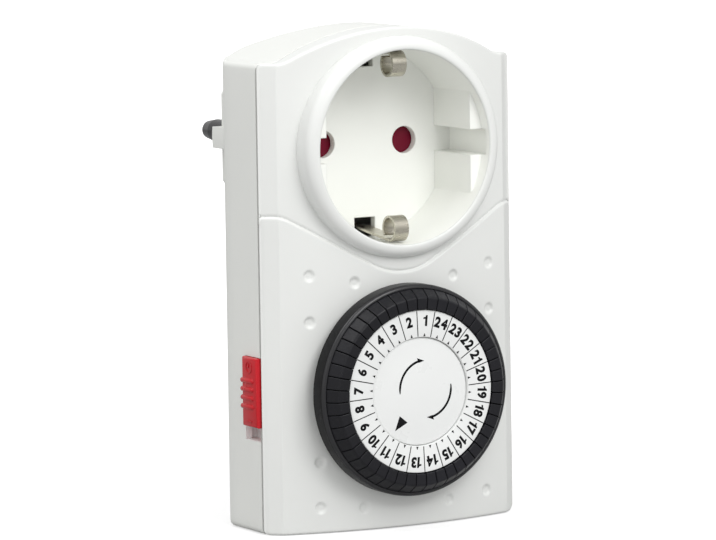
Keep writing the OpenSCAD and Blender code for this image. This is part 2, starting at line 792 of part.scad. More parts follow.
module shutter_spring() {
    echo(spring_gap = spring_gap);
    pts = [for (i = [0:rings]) for (k = [0:sides - 1])
        let (a = 360 * i / 8, b = 360 * k / sides, r = spring_r + wire_r * cos(b))
        [r * cos(a), r * sin(a), spring_line(i)[2] + wire_r * sin(b)]];
    skin = [for (i = [0:rings - 1]) for (k = [0:sides - 1]) let (n = (k + 1) % sides, p = i * sides)
        each [[p + k, p + n, p + sides + k], [p + n, p + sides + n, p + sides + k]]];
    caps = [[for (k = [sides - 1:-1:0]) k], [for (k = [0:sides - 1]) rings * sides + k]];
    color("silver") translate([spring_x, shutter_y + shutter_t / 2, spring_low])
        polyhedron(pts, concat(skin, caps));
}

module socket_contact(x) {
    color([0.8, 0.65, 0.3]) lathe_y(x, socket_z) polygon([[sleeve_r, sleeve_y], [sleeve_out, sleeve_y],
        [sleeve_out, sleeve_end], [0, sleeve_end], [0, sleeve_end - strip_t],
            [sleeve_r, sleeve_end - strip_t]]);
}

head_r = 3.3;
head_l = 1.6;
// The pin's neck lies in the boss's end and stands a little out of it
neck_r = pin_d / 2 - 0.2;
neck_out = 0.4;

module plug_pin(x) {
    tip = boss_end + pin_l;
    r = pin_d / 2;
    tip_r = pin_tip_d / 2;
    seat = boss_end - boss_wall;
    color([0.72, 0.71, 0.68]) lathe_y(x, socket_z) polygon([[0, shank_end], [shank_r, shank_end],
        [shank_r, seat - head_l], [head_r, seat - head_l], [head_r, seat], [neck_r, seat],
        [neck_r, boss_end + neck_out], [r, boss_end + neck_out], [r, tip - pin_tip_l],
        [tip_r + 0.1, tip - 0.6], [tip_r - 0.6, tip], [0, tip]]);
}

module contact_base() {
    color("tan") difference() {
        translate([0, 0, socket_z]) along_y(base_y, base_back) boss_outline(boss_wall + pass_gap);
        rod_y(-pin_x, socket_z, shank_r + 0.05, base_y - 1, base_back + 1);
        box([bus_x - strip_w / 2 - 0.3, base_y - 1, in_low - 9],
            [bus_x + strip_w / 2 + 0.3, base_back + 1, in_low + strip_t + 0.3]);
        both_ends() box([-clip_w / 2 - 0.6, base_y - 1, socket_z - boss_d / 2],
            [clip_w / 2 + 0.6, base_back + 1, socket_z - hollow_in + 1]);
    }
}

module neutral_link() {
    color([0.8, 0.65, 0.3]) rod_y(-pin_x, socket_z, shank_r, sleeve_end, shank_end);
}

end_h = 3;

// Strip from a contact in the boss to the switch: the run along Y lies at height low
module bus(y_contact, low, y_run, z_run) {
    x0 = bus_x - strip_w / 2;
    x1 = bus_x + strip_w / 2;
    box([x0, y_contact, low], [x1, y_contact + strip_t, socket_z + 2]);
    box([x0, y_run, low], [x1, y_contact + strip_t, low + strip_t]);
    box([x0, y_run, z_run], [x1, y_run + strip_t, low + strip_t]);
    box([blade_x - strip_w / 2, y_run, z_run], [x1, y_run + strip_t, z_run + end_h]);
}

module line_out_bus() {
    color([0.8, 0.65, 0.3]) {
        bus(sleeve_end, out_low, out_y, out_z);
        box([blade_x - strip_w / 2, blade_y + blade_t, blade_high - strip_t],
            [blade_x + strip_w / 2, out_y + strip_t, blade_high]);
    }
}

module line_in_bus() {
    color([0.8, 0.65, 0.3]) {
        bus(base_back, in_low, in_y, in_z);
        box([blade_x - strip_w / 2, in_y, contact_z - end_h],
            [blade_x + strip_w / 2, in_y + strip_t, in_z + end_h]);
        rod_y(blade_x, contact_z, contact_r, blade_y + blade_t + 1.2 + contact_gap, in_y + 0.1);
    }
}

module switch_blade() {
    color([0.85, 0.6, 0.4]) {
        box([blade_x - strip_w / 2, blade_y, blade_low],
            [blade_x + strip_w / 2, blade_y + blade_t, blade_high]);
        rod_y(blade_x, contact_z, contact_r, blade_y + 0.1, blade_y + blade_t + 1.2);
    }
}

// ---- Works ----

// Places a shape drawn along +X from the follower's pivot towards its nose
module on_arm() {
    translate([pivot[0], 0, pivot[1]]) rotate([0, -arm_dir, 0]) children();
}

module switch_lever() {
    nose_y = leg_pushed + pass_gap;
    color("ivory") on_arm() {
        difference() {
            union() {
                box([-tail_l, arm_y, -arm_w / 2], [arm_l + 1.2, arm_y + arm_t, arm_w / 2]);
                translate([0, pivot_y, -arm_w / 2]) cylinder(r = 1.45, h = arm_w);
            }
            translate([0, pivot_y, -5]) cylinder(r = pivot_r + run_gap, h = 10);
        }
        box([arm_l - 1.2, nose_y, -1.2], [arm_l + 1.2, arm_y + 0.1, 1.2]);
        box([pusher_at - 1, arm_y + arm_t - 0.1, -1], [pusher_at + 1, pusher_back, 1]);
    }
}

ear_gap = arm_w / 2 + 0.3;
ear_t = 1.2;

module lever_pin() {
    color("silver") on_arm() translate([0, pivot_y, -ear_gap - ear_t])
        cylinder(r = pivot_r, h = 2 * (ear_gap + ear_t));
}

module mechanism_plate() {
    color("lightgray") difference() {
        union() {
            box([2 - slider_inner, plate_y, 2.4], [half_w - wall - 0.5, plate_back, socket_z - tube_r - 2]);
            rod_y(0, dial_z, post_r, cap_back, plate_y + 0.1);
            on_arm() for (s = [-1, 1]) box([-1.6, pivot_y - 1.4, s > 0 ? ear_gap : -ear_gap - ear_t],
                [1.6, plate_y + 0.1, s > 0 ? ear_gap + ear_t : -ear_gap]);
        }
        rod_y(0, dial_z, 1.28, cap_back - 1, cap_back + 4.8);
        on_arm() {
            translate([0, pivot_y, -5]) cylinder(r = pivot_r + 0.02, h = 10);
            box([pusher_at - 1.8, plate_y - 0.1, -1.6], [pusher_at + 2, plate_back + 0.1, 1.6]);
        }
        rod_y(motor_x, motor_z, motor_gear_r + 1, plate_y - 1, plate_back + 1);
        rod_y(gear_x, gear_z, axle_r + 0.02, plate_y - 1, plate_back + 1);
        for (p = SCREWS) rod_y(p[0], p[1], post_out + 0.4, plate_y - 1, plate_back + 1);
    }
}

module gear_axle() {
    color("silver") rod_y(gear_x, gear_z, axle_r, dial_gear_y[0] - 0.2, plate_back);
}

// Angles at which the gears stand in mesh at rest
small_a = gear_dir + 180 + 180 / small_teeth;
wheel_a = motor_to_gear + 180;
motor_a = motor_to_gear + 180 / motor_teeth;

module reduction_gear() {
    bore = axle_r + run_gap;
    color([0.9, 0.88, 0.8]) {
        gear_y(gear_x, gear_z, small_teeth, dial_mod, bore, [dial_gear_y[0] + 0.1, wheel_y[0] + 0.1],
            small_a);
        gear_y(gear_x, gear_z, wheel_teeth, motor_mod, bore, wheel_y, wheel_a);
    }
}

can_y = plate_back + strip_t;
can_end = can_y + motor_l;
can_t = 0.6;

module motor_cover() {
    color("silver") {
        tube_y(motor_x, motor_z, shaft_r + run_gap, motor_r, plate_back, can_y);
        intersection() {
            tube_y(motor_x, motor_z, claw_in, claw_out, can_y - 0.1, can_y + claw_l);
            translate([motor_x, 0, motor_z]) for (k = [0:5]) rotate([0, 60 * k, 0])
                box([-1.6, can_y - 0.1, 0], [1.6, can_y + claw_l, 10]);
        }
    }
}

module motor_can() {
    color("silver") difference() {
        rod_y(motor_x, motor_z, motor_r, can_y, can_end);
        rod_y(motor_x, motor_z, motor_r - can_t, can_y - 1, can_end - can_t);
        rod_y(motor_x, motor_z, shaft_r + run_gap, can_y, can_end + 1);
    }
}

bobbin_y = [can_y + 0.2, can_end - can_t - 0.2];
flange_t = 0.8;
coil_t = 4.3;
coil_out = motor_r - 1.8;
core_r = coil_out - coil_t;
bobbin_r = core_r - flange_t;
claw_t = 0.8;
claw_out = bobbin_r - 0.5;
claw_in = claw_out - claw_t;
magnet_r = claw_in - 0.6;
claw_l = 7;

module coil_bobbin() {
    color("white") lathe_y(motor_x, motor_z) polygon([[bobbin_r, bobbin_y[0]], [motor_r - 1, bobbin_y[0]],
        [motor_r - 1, bobbin_y[0] + flange_t], [core_r, bobbin_y[0] + flange_t],
        [core_r, bobbin_y[1] - flange_t], [motor_r - 1, bobbin_y[1] - flange_t],
        [motor_r - 1, bobbin_y[1]], [bobbin_r, bobbin_y[1]]]);
}

module coil_winding() {
    color([0.72, 0.4, 0.2]) tube_y(motor_x, motor_z, core_r, coil_out,
        bobbin_y[0] + flange_t, bobbin_y[1] - flange_t);
}

module rotor_magnet() {
    color([0.2, 0.2, 0.22]) tube_y(motor_x, motor_z, shaft_r + 0.01, magnet_r, can_y + 0.6,
        can_y + claw_l + 0.6);
}

module motor_pinion() {
    color("goldenrod") {
        gear_y(motor_x, motor_z, motor_teeth, motor_mod, shaft_r - 0.2, wheel_y, motor_a);
        rod_y(motor_x, motor_z, shaft_r, wheel_y[0] - 0.3, can_end - 0.1);
    }
}

lead_r = 0.45;
lead_top = [3, -1];
lead_end = [[3, out_y - lead_r - 0.1, out_z + 0.6], [-pin_x, sleeve_y + 1.4, socket_z - sleeve_out + 0.15]];

module motor_leads() {
    color("royalblue") for (n = [0, 1]) {
        x = lead_top[n];
        z = motor_z + sqrt(motor_r ^ 2 - (abs(x - motor_x) - 0.8) ^ 2);
        a = [x, can_y + 4, z + 0.6];
        d = lead_end[n] - a;
        box([x - 0.8, can_y + 3.2, z + 0.1], [x + 0.8, can_y + 4.8, z + 1.2]);
        translate(a) rotate([0, acos(d[2] / norm(d)), atan2(d[1], d[0])])
            cylinder(r = lead_r, h = norm(d) - 0.3);
    }
}

module housing_screws() {
    color("silver") for (p = SCREWS) difference() {
        lathe_y(p[0], p[1]) polygon([[0, screw_tip], [screw_r, screw_tip], [screw_r, screw_seat],
            [screw_head_r, screw_seat], [screw_head_r, screw_seat + 1.4],
                [screw_head_r - 0.4, screw_seat + 1.8],
            [0, screw_seat + 1.8]]);
        for (s = [[1.6, 0.25], [0.25, 1.6]]) box([p[0] - s[0], screw_seat + 0.8, p[1] - s[1]],
            [p[0] + s[0], screw_seat + 2, p[1] + s[1]]);
    }
}

// ---- Nodes ----

SEGMENTS = [for (k = [1:24]) str("segment_pair_", k < 10 ? "0" : "", k)];

front_housing();
rear_housing();
dial_carrier();
number_disc();
centre_cap();
override_slider();
socket_earth_clip();
plug_earth_clip();
safety_shutter();
shutter_spring();
shutter_clip();
socket_contact(-pin_x);  // socket_contact_left
socket_contact(pin_x);  // socket_contact_right
plug_pin(-pin_x);  // plug_pin_left
plug_pin(pin_x);  // plug_pin_right
contact_base();
neutral_link();
line_in_bus();
line_out_bus();
switch_blade();
switch_lever();
lever_pin();
mechanism_plate();
gear_axle();
reduction_gear();
motor_cover();
motor_can();
coil_bobbin();
coil_winding();
rotor_magnet();
motor_pinion();
motor_leads();
housing_screws();
for (k = [0:23]) segment_pair(k);
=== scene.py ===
import math

import bmesh
import bpy
import numpy as np
from mathutils import Matrix, Vector
from mathutils.geometry import delaunay_2d_cdt
from mathutils.kdtree import KDTree


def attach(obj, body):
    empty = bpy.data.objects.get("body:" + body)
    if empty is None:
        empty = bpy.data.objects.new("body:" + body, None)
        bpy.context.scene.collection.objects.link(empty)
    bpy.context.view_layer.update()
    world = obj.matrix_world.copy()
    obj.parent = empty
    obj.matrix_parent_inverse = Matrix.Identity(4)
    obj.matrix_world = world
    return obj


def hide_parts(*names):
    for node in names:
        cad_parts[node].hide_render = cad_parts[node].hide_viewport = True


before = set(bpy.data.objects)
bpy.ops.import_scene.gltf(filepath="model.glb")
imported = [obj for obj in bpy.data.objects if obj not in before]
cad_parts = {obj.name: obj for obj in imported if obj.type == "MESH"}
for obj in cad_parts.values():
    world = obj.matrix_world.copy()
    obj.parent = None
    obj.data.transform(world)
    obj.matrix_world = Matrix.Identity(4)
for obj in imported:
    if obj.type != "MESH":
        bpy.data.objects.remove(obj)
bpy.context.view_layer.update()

# ---------------------------------------------------------------- sizes in mm, as in the CAD
MM = 0.001
# Body: half width, height of the shoulders and of the crown, half width of the crown, hollow between them
HALF_W, SHOULDER, CROWN, CROWN_HALF, HOLLOW = 29.2, 94.8, 101.4, 24.8, 6.0
# Corners of the outline; the photographed ones are tighter than the CAD's 2.6 and 2.1
CORNER, SHOULDER_R = 1.3, 1.1
# Front shell: y of the seam and of the face's middle, radius of its bow, half width between the bevels
SEAM, FACE, BOW, FACE_HALF = -4.0, -10.9, 90.0, 26.2
# Rear shell: y where the straight sides end, y of the back, inset of the sloped edge
SIDE_END, BACK, SLOPE_IN = 10.0, 18.0, 4.6
# Raised panel: step, z of its level sides, its lowest point and radius there, slope, radius at the turn
PANEL_STEP, PANEL_SIDE, NOSE_Z, NOSE_R, SLOPE, TURN_R = 0.3, 64.0, 51.8, 14.0, 29.0, 5.0
# Socket: z of its axis, radius of the well, y of the rim, radius of the collar, and its rounding (CAD 1.4)
SOCK_Z, WELL_R, RIM, COLLAR_R, LIP = 77.2, 19.6, -13.2, 22.3, 2.2
# Dial: z of its axis, radius of the opening behind it, its own radius, its wall and the wall's front rounding
DIAL_Z, OPEN_R, DIAL_R, DIAL_WALL, DIAL_EDGE = 28.3, 19.2, 21.5, 0.8, 0.8
# Dial: gap behind it, depth to the front of the number disc, turn clockwise at rest in degrees
DIAL_GAP, DIAL_DEPTH, DIAL_TURN = 0.7, 5.8, -2.5
# Radii of the number disc outside and inside, and of the cap; how far the cap lies behind the disc's front
DISC_R, DISC_IN, CAP_R, CAP_SINK = 16.45, 11.15, 10.9, 0.45
# Slider: how far it stands out, its depth from the seam, its ends in z; ends of its pocket
SLIDER_PROUD, SLIDER_D, SLIDER_Z = 0.9, 6.3, (21.6, 35.7)
POCKET_Z = (18.8, 35.8)
DIMPLES = [(-20.3, 52.2), (-10.8, 50.4), (-20.3, 42.8), (12.2, 50.4), (21.6, 52.2), (21.6, 42.8),
           (-18.6, 14.4), (-18.6, 5.2), (-9.4, 4.6), (10.4, 4.6), (20.4, 5.4)]
SCREWS = [(-22.9, 8.0), (22.9, 8.0), (-22.9, 88.6), (22.9, 88.6)]

EDGE = FACE + BOW - math.sqrt(BOW ** 2 - FACE_HALF ** 2)
DIAL_BACK = FACE - PANEL_STEP - DIAL_GAP
DISC_FRONT = DIAL_BACK - DIAL_DEPTH
CAP_FRONT = DISC_FRONT + CAP_SINK
RIM_IN = DIAL_R - DIAL_WALL


# ---------------------------------------------------------------- materials
def new_mat(name):
    m = bpy.data.materials.new(name)
    m.use_nodes = True
    nt = m.node_tree
    return m, nt, nt.nodes["Principled BSDF"]


def noise(nt, scale, detail=3.0, rough=0.5, stretch=None):
    """Noise in object space, stretched along the axes if asked."""
    tc = nt.nodes.new("ShaderNodeTexCoord")
    n = nt.nodes.new("ShaderNodeTexNoise")
    n.inputs["Scale"].default_value = scale
    n.inputs["Detail"].default_value = detail
    n.inputs["Roughness"].default_value = rough
    place = tc.outputs["Object"]
    if stretch:
        mp = nt.nodes.new("ShaderNodeMapping")
        mp.inputs["Scale"].default_value = stretch
        nt.links.new(place, mp.inputs["Vector"])
        place = mp.outputs["Vector"]
    nt.links.new(place, n.inputs["Vector"])
    return n.outputs["Fac"]


def ramp(nt, fac, stops):
    """Colour between two stops, each a position and a colour."""
    r = nt.nodes.new("ShaderNodeValToRGB")
    for e, (at, col) in zip(r.color_ramp.elements, stops):
        e.position = at
        e.color = (*col, 1.0)
    nt.links.new(fac, r.inputs["Fac"])
    return r.outputs["Color"]


def drift(nt, fac, col, vary, stops):
    """Colour that drifts by a share vary to both sides of col."""
    dark = tuple(c * (1 - vary) for c in col)
    light = tuple(min(1.0, c * (1 + vary)) for c in col)
    return ramp(nt, fac, [(stops[0], dark), (stops[1], light)])


def spread(nt, fac, lo, hi, a=0.3, b=0.7):
    """Map a value from a..b to lo..hi."""
    mr = nt.nodes.new("ShaderNodeMapRange")
    mr.inputs["From Min"].default_value = a
    mr.inputs["From Max"].default_value = b
    mr.inputs["To Min"].default_value = lo
    mr.inputs["To Max"].default_value = hi
    nt.links.new(fac, mr.inputs["Value"])
    return mr.outputs["Result"]


def soft_edge(nt, radius):
    b = nt.nodes.new("ShaderNodeBevel")
    b.samples = 6
    b.inputs["Radius"].default_value = radius
    return b.outputs["Normal"]


def bump(nt, height, strength, distance, normal=None):
    b = nt.nodes.new("ShaderNodeBump")
    b.inputs["Strength"].default_value = strength
    b.inputs["Distance"].default_value = distance
    nt.links.new(height, b.inputs["Height"])
    if normal is not None:
        nt.links.new(normal, b.inputs["Normal"])
    return b.outputs["Normal"]


def moulded(name, col, rough=(0.32, 0.42), grain=0.02, vary=0.015, edge=0.00018, grain_scale=2600,
            spec=0.5):
    """Injection moulded plastic: fine grain, slight tone drift, worn gloss and softened edges."""
    m, nt, p = new_mat(name)
    tone = noise(nt, 35, 4, 0.55)
    nt.links.new(drift(nt, tone, col, vary, (0.35, 0.65)), p.inputs["Base Color"])
    gloss = noise(nt, 160, 5, 0.6)
    nt.links.new(spread(nt, gloss, rough[0], rough[1]), p.inputs["Roughness"])
    nrm = soft_edge(nt, edge) if edge else None
    nt.links.new(bump(nt, noise(nt, grain_scale, 2, 0.5), grain, 0.00004, nrm), p.inputs["Normal"])
    p.inputs["Specular IOR Level"].default_value = spec
    return m


def metal(name, col, rough=(0.2, 0.35), grain=0.08, stretch=(1, 1, 1), vary=0.05):
    """Drawn or pressed metal: grain and gloss stretched along the way it was worked."""
    m, nt, p = new_mat(name)
    tone = noise(nt, 220, 5, 0.6)
    nt.links.new(drift(nt, tone, col, vary, (0.3, 0.7)), p.inputs["Base Color"])
    p.inputs["Metallic"].default_value = 1.0
    gloss = noise(nt, 500, 4, 0.6, stretch)
    nt.links.new(spread(nt, gloss, rough[0], rough[1]), p.inputs["Roughness"])
    grains = noise(nt, 900, 3, 0.5, stretch)
    nt.links.new(bump(nt, grains, grain, 0.00003, soft_edge(nt, 0.0001)), p.inputs["Normal"])
    return m


# Roughness of the white, the duller white and the black mouldings
WHITE, DULL, BLACK = (0.30, 0.40), (0.34, 0.44), (0.26, 0.36)
MAT = {
    "shell": moulded("shell_plastic", (0.76, 0.77, 0.75), WHITE, 0.05),
    # slider pocket: the rear shell's white painted lighter, as fill light against the shade in the deep
    # pocket
    "pocket": moulded("pocket_plastic_painted_fill", (0.96, 0.96, 0.95), DULL, 0.05, spec=0.3),
    "rear": moulded("rear_plastic", (0.78, 0.79, 0.76), WHITE, 0.05),
    # socket well: lighter than the front shell it is moulded with, painted fill light in the deep well
    "well": moulded("well_plastic_painted_fill", (0.91, 0.92, 0.88), DULL, 0.05, edge=0.00035),
    "disc": moulded("disc_plastic", (0.82, 0.83, 0.82), (0.30, 0.38), 0.02, edge=0.00008),
    "cap": moulded("cap_plastic", (0.82, 0.83, 0.82), (0.26, 0.34), 0.02, edge=0.00012),
    "ring": moulded("ring_plastic", (0.004, 0.004, 0.005), BLACK, 0.06, 0.12, 0.0001, 1500, spec=0.10),
    # rounded front edge of the dial's rim: glossier, and its lighter black is a painted highlight
    "rim_painted_highlight": moulded("rim_painted_highlight_plastic", (0.012, 0.012, 0.014), BLACK, 0.06, 0.12, 0.0001, 1500),
    "tab": moulded("tab_plastic", (0.008, 0.008, 0.011), (0.30, 0.50), 0.7, 0.3, 0.00008, 2400,
                   spec=0.28),
    "slider": moulded("slider_plastic", (0.52, 0.008, 0.016), (0.20, 0.30), 0.04, 0.06, 0.00012,
                      spec=0.32),
    "shutter": moulded("shutter_plastic", (0.17, 0.004, 0.022), (0.28, 0.4), 0.03, 0.06, 0.0001,
                       spec=0.2),
    "ink": moulded("print_ink", (0.006, 0.006, 0.007), (0.5, 0.6), 0.02, 0.1, 0.0, spec=0.12),
    "nickel": metal("clip_nickel", (0.50, 0.475, 0.40), (0.22, 0.40), 0.2, (1, 1, 6)),
    # plug pins: bright metal given a near-black base colour, a painted dark reflection
    "pin": metal("pin_nickel", (0.085, 0.085, 0.087), (0.24, 0.32), 0.03, (1, 5, 1), vary=0.02),
    "brass": metal("contact_brass", (0.70, 0.50, 0.20), (0.25, 0.4)),
    "bronze": metal("blade_bronze", (0.66, 0.38, 0.22), (0.25, 0.4)),
    "steel": metal("zinc_steel", (0.52, 0.53, 0.54), (0.25, 0.45)),
    "magnet": metal("ferrite", (0.06, 0.06, 0.065), (0.5, 0.7)),
    "copper": metal("enamelled_copper", (0.50, 0.20, 0.08), (0.3, 0.45)),
    "ivory": moulded("gear_plastic", (0.76, 0.73, 0.62), (0.35, 0.5), 0.04),
    "grey": moulded("plate_plastic", (0.42, 0.43, 0.44), (0.4, 0.55), 0.08),
    "tan": moulded("base_plastic", (0.36, 0.25, 0.15), (0.4, 0.55), 0.08),
    "lead": moulded("lead_insulation", (0.03, 0.07, 0.35), (0.4, 0.5), 0.02, edge=0.0),
}


def put(obj, key):
    obj.data.materials.clear()
    obj.data.materials.append(MAT[key])
    for f in obj.data.polygons:
        f.material_index = 0


# The CAD parts that show as they are
CAD_LOOKS = {
    "nickel": ["socket_earth_clip", "plug_earth_clip"],
    # the pins' near-black is a painted dark reflection
    "pin": ["plug_pin_left", "plug_pin_right"],
    "shutter": ["safety_shutter"],
    "steel": ["shutter_spring", "shutter_clip", "lever_pin", "gear_axle", "motor_cover", "motor_can",
              "housing_screws"],
    "brass": ["socket_contact_left", "socket_contact_right", "neutral_link", "line_in_bus",
              "line_out_bus", "motor_pinion"],
    "bronze": ["switch_blade"],
    "ivory": ["switch_lever", "reduction_gear", "coil_bobbin"],
    "tan": ["contact_base"],
    "grey": ["mechanism_plate"],
    "copper": ["coil_winding"],
    "magnet": ["rotor_magnet"],
    "lead": ["motor_leads"],
}
for look, nodes in CAD_LOOKS.items():
    for node in nodes:
        put(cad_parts[node], look)


# ---------------------------------------------------------------- mesh helpers
def new_object(name, me, key):
    ob = bpy.data.objects.new(name, me)
    bpy.context.scene.collection.objects.link(ob)
    put(ob, key)
    return ob


def edges_of(faces):
    """The edges of some faces, each once and always in the same order."""
    return list(dict.fromkeys(e for f in faces for e in f.edges))


def mark_sharp(bm, degrees):
    """Smooth shading, but for the edges that turn by more than some degrees."""
    for f in bm.faces:
        f.smooth = True
    for e in bm.edges:
        if len(e.link_faces) == 2 and e.calc_face_angle(0) > math.radians(degrees):
            e.smooth = False


def make(name, verts, faces, key, body, smooth=40):
    """Mesh object in metres from points in millimetres."""
    me = bpy.data.meshes.new(name)
    me.from_pydata([tuple(c * MM for c in v) for v in verts], [], [tuple(f) for f in faces])
    me.validate()
    ob = new_object(name, me, key)
    bm = bmesh.new()
    bm.from_mesh(me)
    bmesh.ops.remove_doubles(bm, verts=bm.verts, dist=1e-7)
    bmesh.ops.recalc_face_normals(bm, faces=bm.faces)
    mark_sharp(bm, smooth)
    bm.to_mesh(me)
    bm.free()
    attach(ob, body)
    return ob


def cad_part(name, node, keep, key, body):
    """New piece from those faces of a CAD node that keep() picks by their middle, in mm."""
    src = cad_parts[node].data
    co = np.array([tuple(v.co) for v in src.vertices]) * 1000
    faces = [tuple(p.vertices) for p in src.polygons]
    picked = [f for f in faces if keep(co[list(f)].mean(0))]
    used = sorted({v for f in picked for v in f})
    idx = {v: i for i, v in enumerate(used)}
    return make(name, [co[v] for v in used], [[idx[v] for v in f] for f in picked], key, body, 30)


def band(verts, faces, rows, skip=None):
    """Quads between closed rows of the same length, without those that skip() names."""
    n = len(rows[0])
    base = len(verts)
    for row in rows:
        verts += row
    for r in range(len(rows) - 1):
        for i in range(n):
            j = (i + 1) % n
            if skip and skip(r, rows[r][i], rows[r][j]):
                continue
            at = base + r * n
            faces.append((at + i, at + j, at + n + j, at + n + i))


def arc(cx, cz, r, a0, a1, n):
    """Points on an arc, angles in degrees from +x towards +z."""
    return [(cx + r * math.cos(math.radians(a0 + (a1 - a0) * i / n)),
             cz + r * math.sin(math.radians(a0 + (a1 - a0) * i / n))) for i in range(n + 1)]


def circle(cx, cz, r, n):
    return arc(cx, cz, r, 0, 360, n)[:-1]


def line(a, b, n):
    return [(a[0] + (b[0] - a[0]) * i / n, a[1] + (b[1] - a[1]) * i / n) for i in range(n + 1)]


def outline(i):
    """Closed outline of the body drawn in by i, anticlockwise from the middle of the bottom."""
    least = 0.15
    h = CROWN - SHOULDER
    big = (CROWN_HALF ** 2 + h ** 2) / (2 * h)
    cz = CROWN - big
    tx = math.sqrt(CROWN_HALF ** 2 + 2 * HOLLOW * h)
    tz = SHOULDER + HOLLOW
    bend = math.degrees(math.asin(tx / (big + HOLLOW)))
    w, top = HALF_W - i, SHOULDER - i
    lo, hi = max(CORNER - i, least), max(SHOULDER_R - i, least)
    pts = line((0, i), (w - lo, i), 30)
    pts += arc(w - lo, i + lo, lo, -90, 0, 8)[1:]
    pts += line((w, i + lo), (w, top - hi), 90)[1:]
    pts += arc(w - hi, top - hi, hi, 0, 90, 8)[1:]
    turns = [math.radians(bend * n / 10) for n in range(11)]
    hollow = [(tx - (HOLLOW + i) * math.sin(a), tz - (HOLLOW + i) * math.cos(a)) for a in turns]
    pts += line((w - hi, top), hollow[0], 2)[1:]
    pts += hollow[1:]
    pts += arc(0, cz, big - i, 90 - bend, 90, 40)[1:]
    return pts + [(-x, z) for x, z in reversed(pts[1:-1])]


def inside(pts, poly):
    """Which points lie in a closed polygon."""
    x, z = pts[:, 0], pts[:, 1]
    res = np.zeros(len(pts), bool)
    p = np.array(poly)
    q = np.roll(p, -1, 0)
    for (x0, z0), (x1, z1) in zip(p, q):
        if z0 == z1:
            continue
        hit = ((z0 > z) != (z1 > z)) & (x < (x1 - x0) * (z - z0) / (z1 - z0) + x0)
        res ^= hit
    return res


def to_line(pts, poly, closed=True):
    """Distance of each point from a polyline."""
    p = np.array(poly)
    q = np.roll(p, -1, 0) if closed else p[1:]
    p = p if closed else p[:-1]
    best = np.full(len(pts), 1e9)
    for (x0, z0), (x1, z1) in zip(p, q):
        dx, dz = x1 - x0, z1 - z0
        ll = dx * dx + dz * dz
        if ll < 1e-12:
            continue
        t = np.clip(((pts[:, 0] - x0) * dx + (pts[:, 1] - z0) * dz) / ll, 0, 1)
        d = np.hypot(pts[:, 0] - x0 - t * dx, pts[:, 1] - z0 - t * dz)
        best = np.minimum(best, d)
    return best


def offset_line(pts, d):
    """Open polyline moved sideways by d, to the left of its run."""
    p = np.array(pts)
    t = np.gradient(p, axis=0)
    t /= np.linalg.norm(t, axis=1)[:, None]
    return [(x - d * tz, z + d * tx) for (x, z), (tx, tz) in zip(p, t)]


def within(pts, inset, holes):
    """The points inside the body's outline drawn in by inset, and outside the holes."""
    arr = np.array(pts)
    ok = inside(arr, outline(inset))
    for h in holes:
        ok &= ~inside(arr, h)
    return [p for p, k in zip(pts, ok) if k]


def one_per_cell(pts, cell=0.05):
    """The first point in each cell of a fine grid."""
    first = {}
    for p in pts:
        first.setdefault((round(p[0] / cell), round(p[1] / cell)), p)
    return list(first.values())


def thin(points, taken, gap):
    """Those points that lie at least gap from the taken ones."""
    kd = KDTree(len(taken))
    for i, (x, z) in enumerate(taken):
        kd.insert((x, z, 0), i)
    kd.balance()
    return [p for p in points if kd.find((p[0], p[1], 0))[2] >= gap]


def sheet(points, loop, holes):
    """Delaunay triangles over the points, inside the loop and outside the holes."""
    verts, edges = [], []
    for lp in [loop] + holes:
        b = len(verts)
        verts += [tuple(p) for p in lp]
        edges += [(b + i, b + (i + 1) % len(lp)) for i in range(len(lp))]
    verts += [tuple(p) for p in points]
    out = delaunay_2d_cdt([Vector(v) for v in verts], edges, [], 0, 1e-5, False)
    co = np.array([(v.x, v.y) for v in out[0]])
    tris = np.array([f for f in out[2] if len(f) == 3])
    mid = co[tris].mean(1)
    ok = inside(mid, loop)
    for h in holes:
        ok &= ~inside(mid, h)
    return co, tris[ok]


def smooth_max(a, b, k):
    h = np.clip(0.5 + 0.5 * (a - b) / k, 0, 1)
    return b * (1 - h) + a * h + k * h * (1 - h)


def smooth_min(a, b, k):
    return -smooth_max(-a, -b, k)


def step01(t):
    t = np.clip(t, 0, 1)
    return t * t * (3 - 2 * t)


def rounding(t):
    """Rise of a quarter circle from its top, at a share t of its radius."""
    return 1 - np.sqrt(np.clip(1 - t * t, 0, 1))


# ---------------------------------------------------------------- front shell
RING0 = outline(0.0)
# Seam groove: front edge, its floor, how far in it goes, and the rear shell's edge and floor
GROOVE_FRONT, GROOVE_FLOOR, GROOVE_IN = SEAM - 0.4, SEAM - 0.34, 1.9
REAR_FLOOR, REAR_EDGE = SEAM + 0.26, SEAM + 0.34
FACE_ROUND = 0.55
PANEL_EDGE = 0.36
PANEL_GROOVE_D, PANEL_GROOVE_W = 0.24, 0.2
DIMPLE_D, DIMPLE_R, DIMPLE_W = 0.44, 1.35, 0.75
RIM_ROUND_W, RIM_ROUND_D = 0.45, 0.5
FOOT_D, FOOT_W = 0.05, 0.12
OPENING_D = 1.8


def panel_curve():
    """Edge of the raised panel, from left to right."""
    c, s = math.cos(math.radians(SLOPE)), math.sin(math.radians(SLOPE))
    sx, sz = NOSE_R * s, NOSE_Z + NOSE_R * (1 - c)
    run = (PANEL_SIDE - TURN_R * (1 - c) - sz) / s
    tx = sx + run * c + TURN_R * s
    nose = [math.radians(SLOPE * i / 10) for i in range(11)]
    right = [(NOSE_R * math.sin(a), NOSE_Z + NOSE_R * (1 - math.cos(a))) for a in nose]
    turn = [math.radians(SLOPE * (1 - i / 6)) for i in range(7)]
    flat = [(tx - TURN_R * math.sin(a), PANEL_SIDE - TURN_R * (1 - math.cos(a))) for a in turn]
    right += line(right[-1], flat[0], 24)[1:] + flat[1:]
    right += line(flat[-1], (HALF_W + 0.4, PANEL_SIDE), 6)[1:]
    return [(-x, z) for x, z in reversed(right[1:])] + right


PANEL = panel_curve()


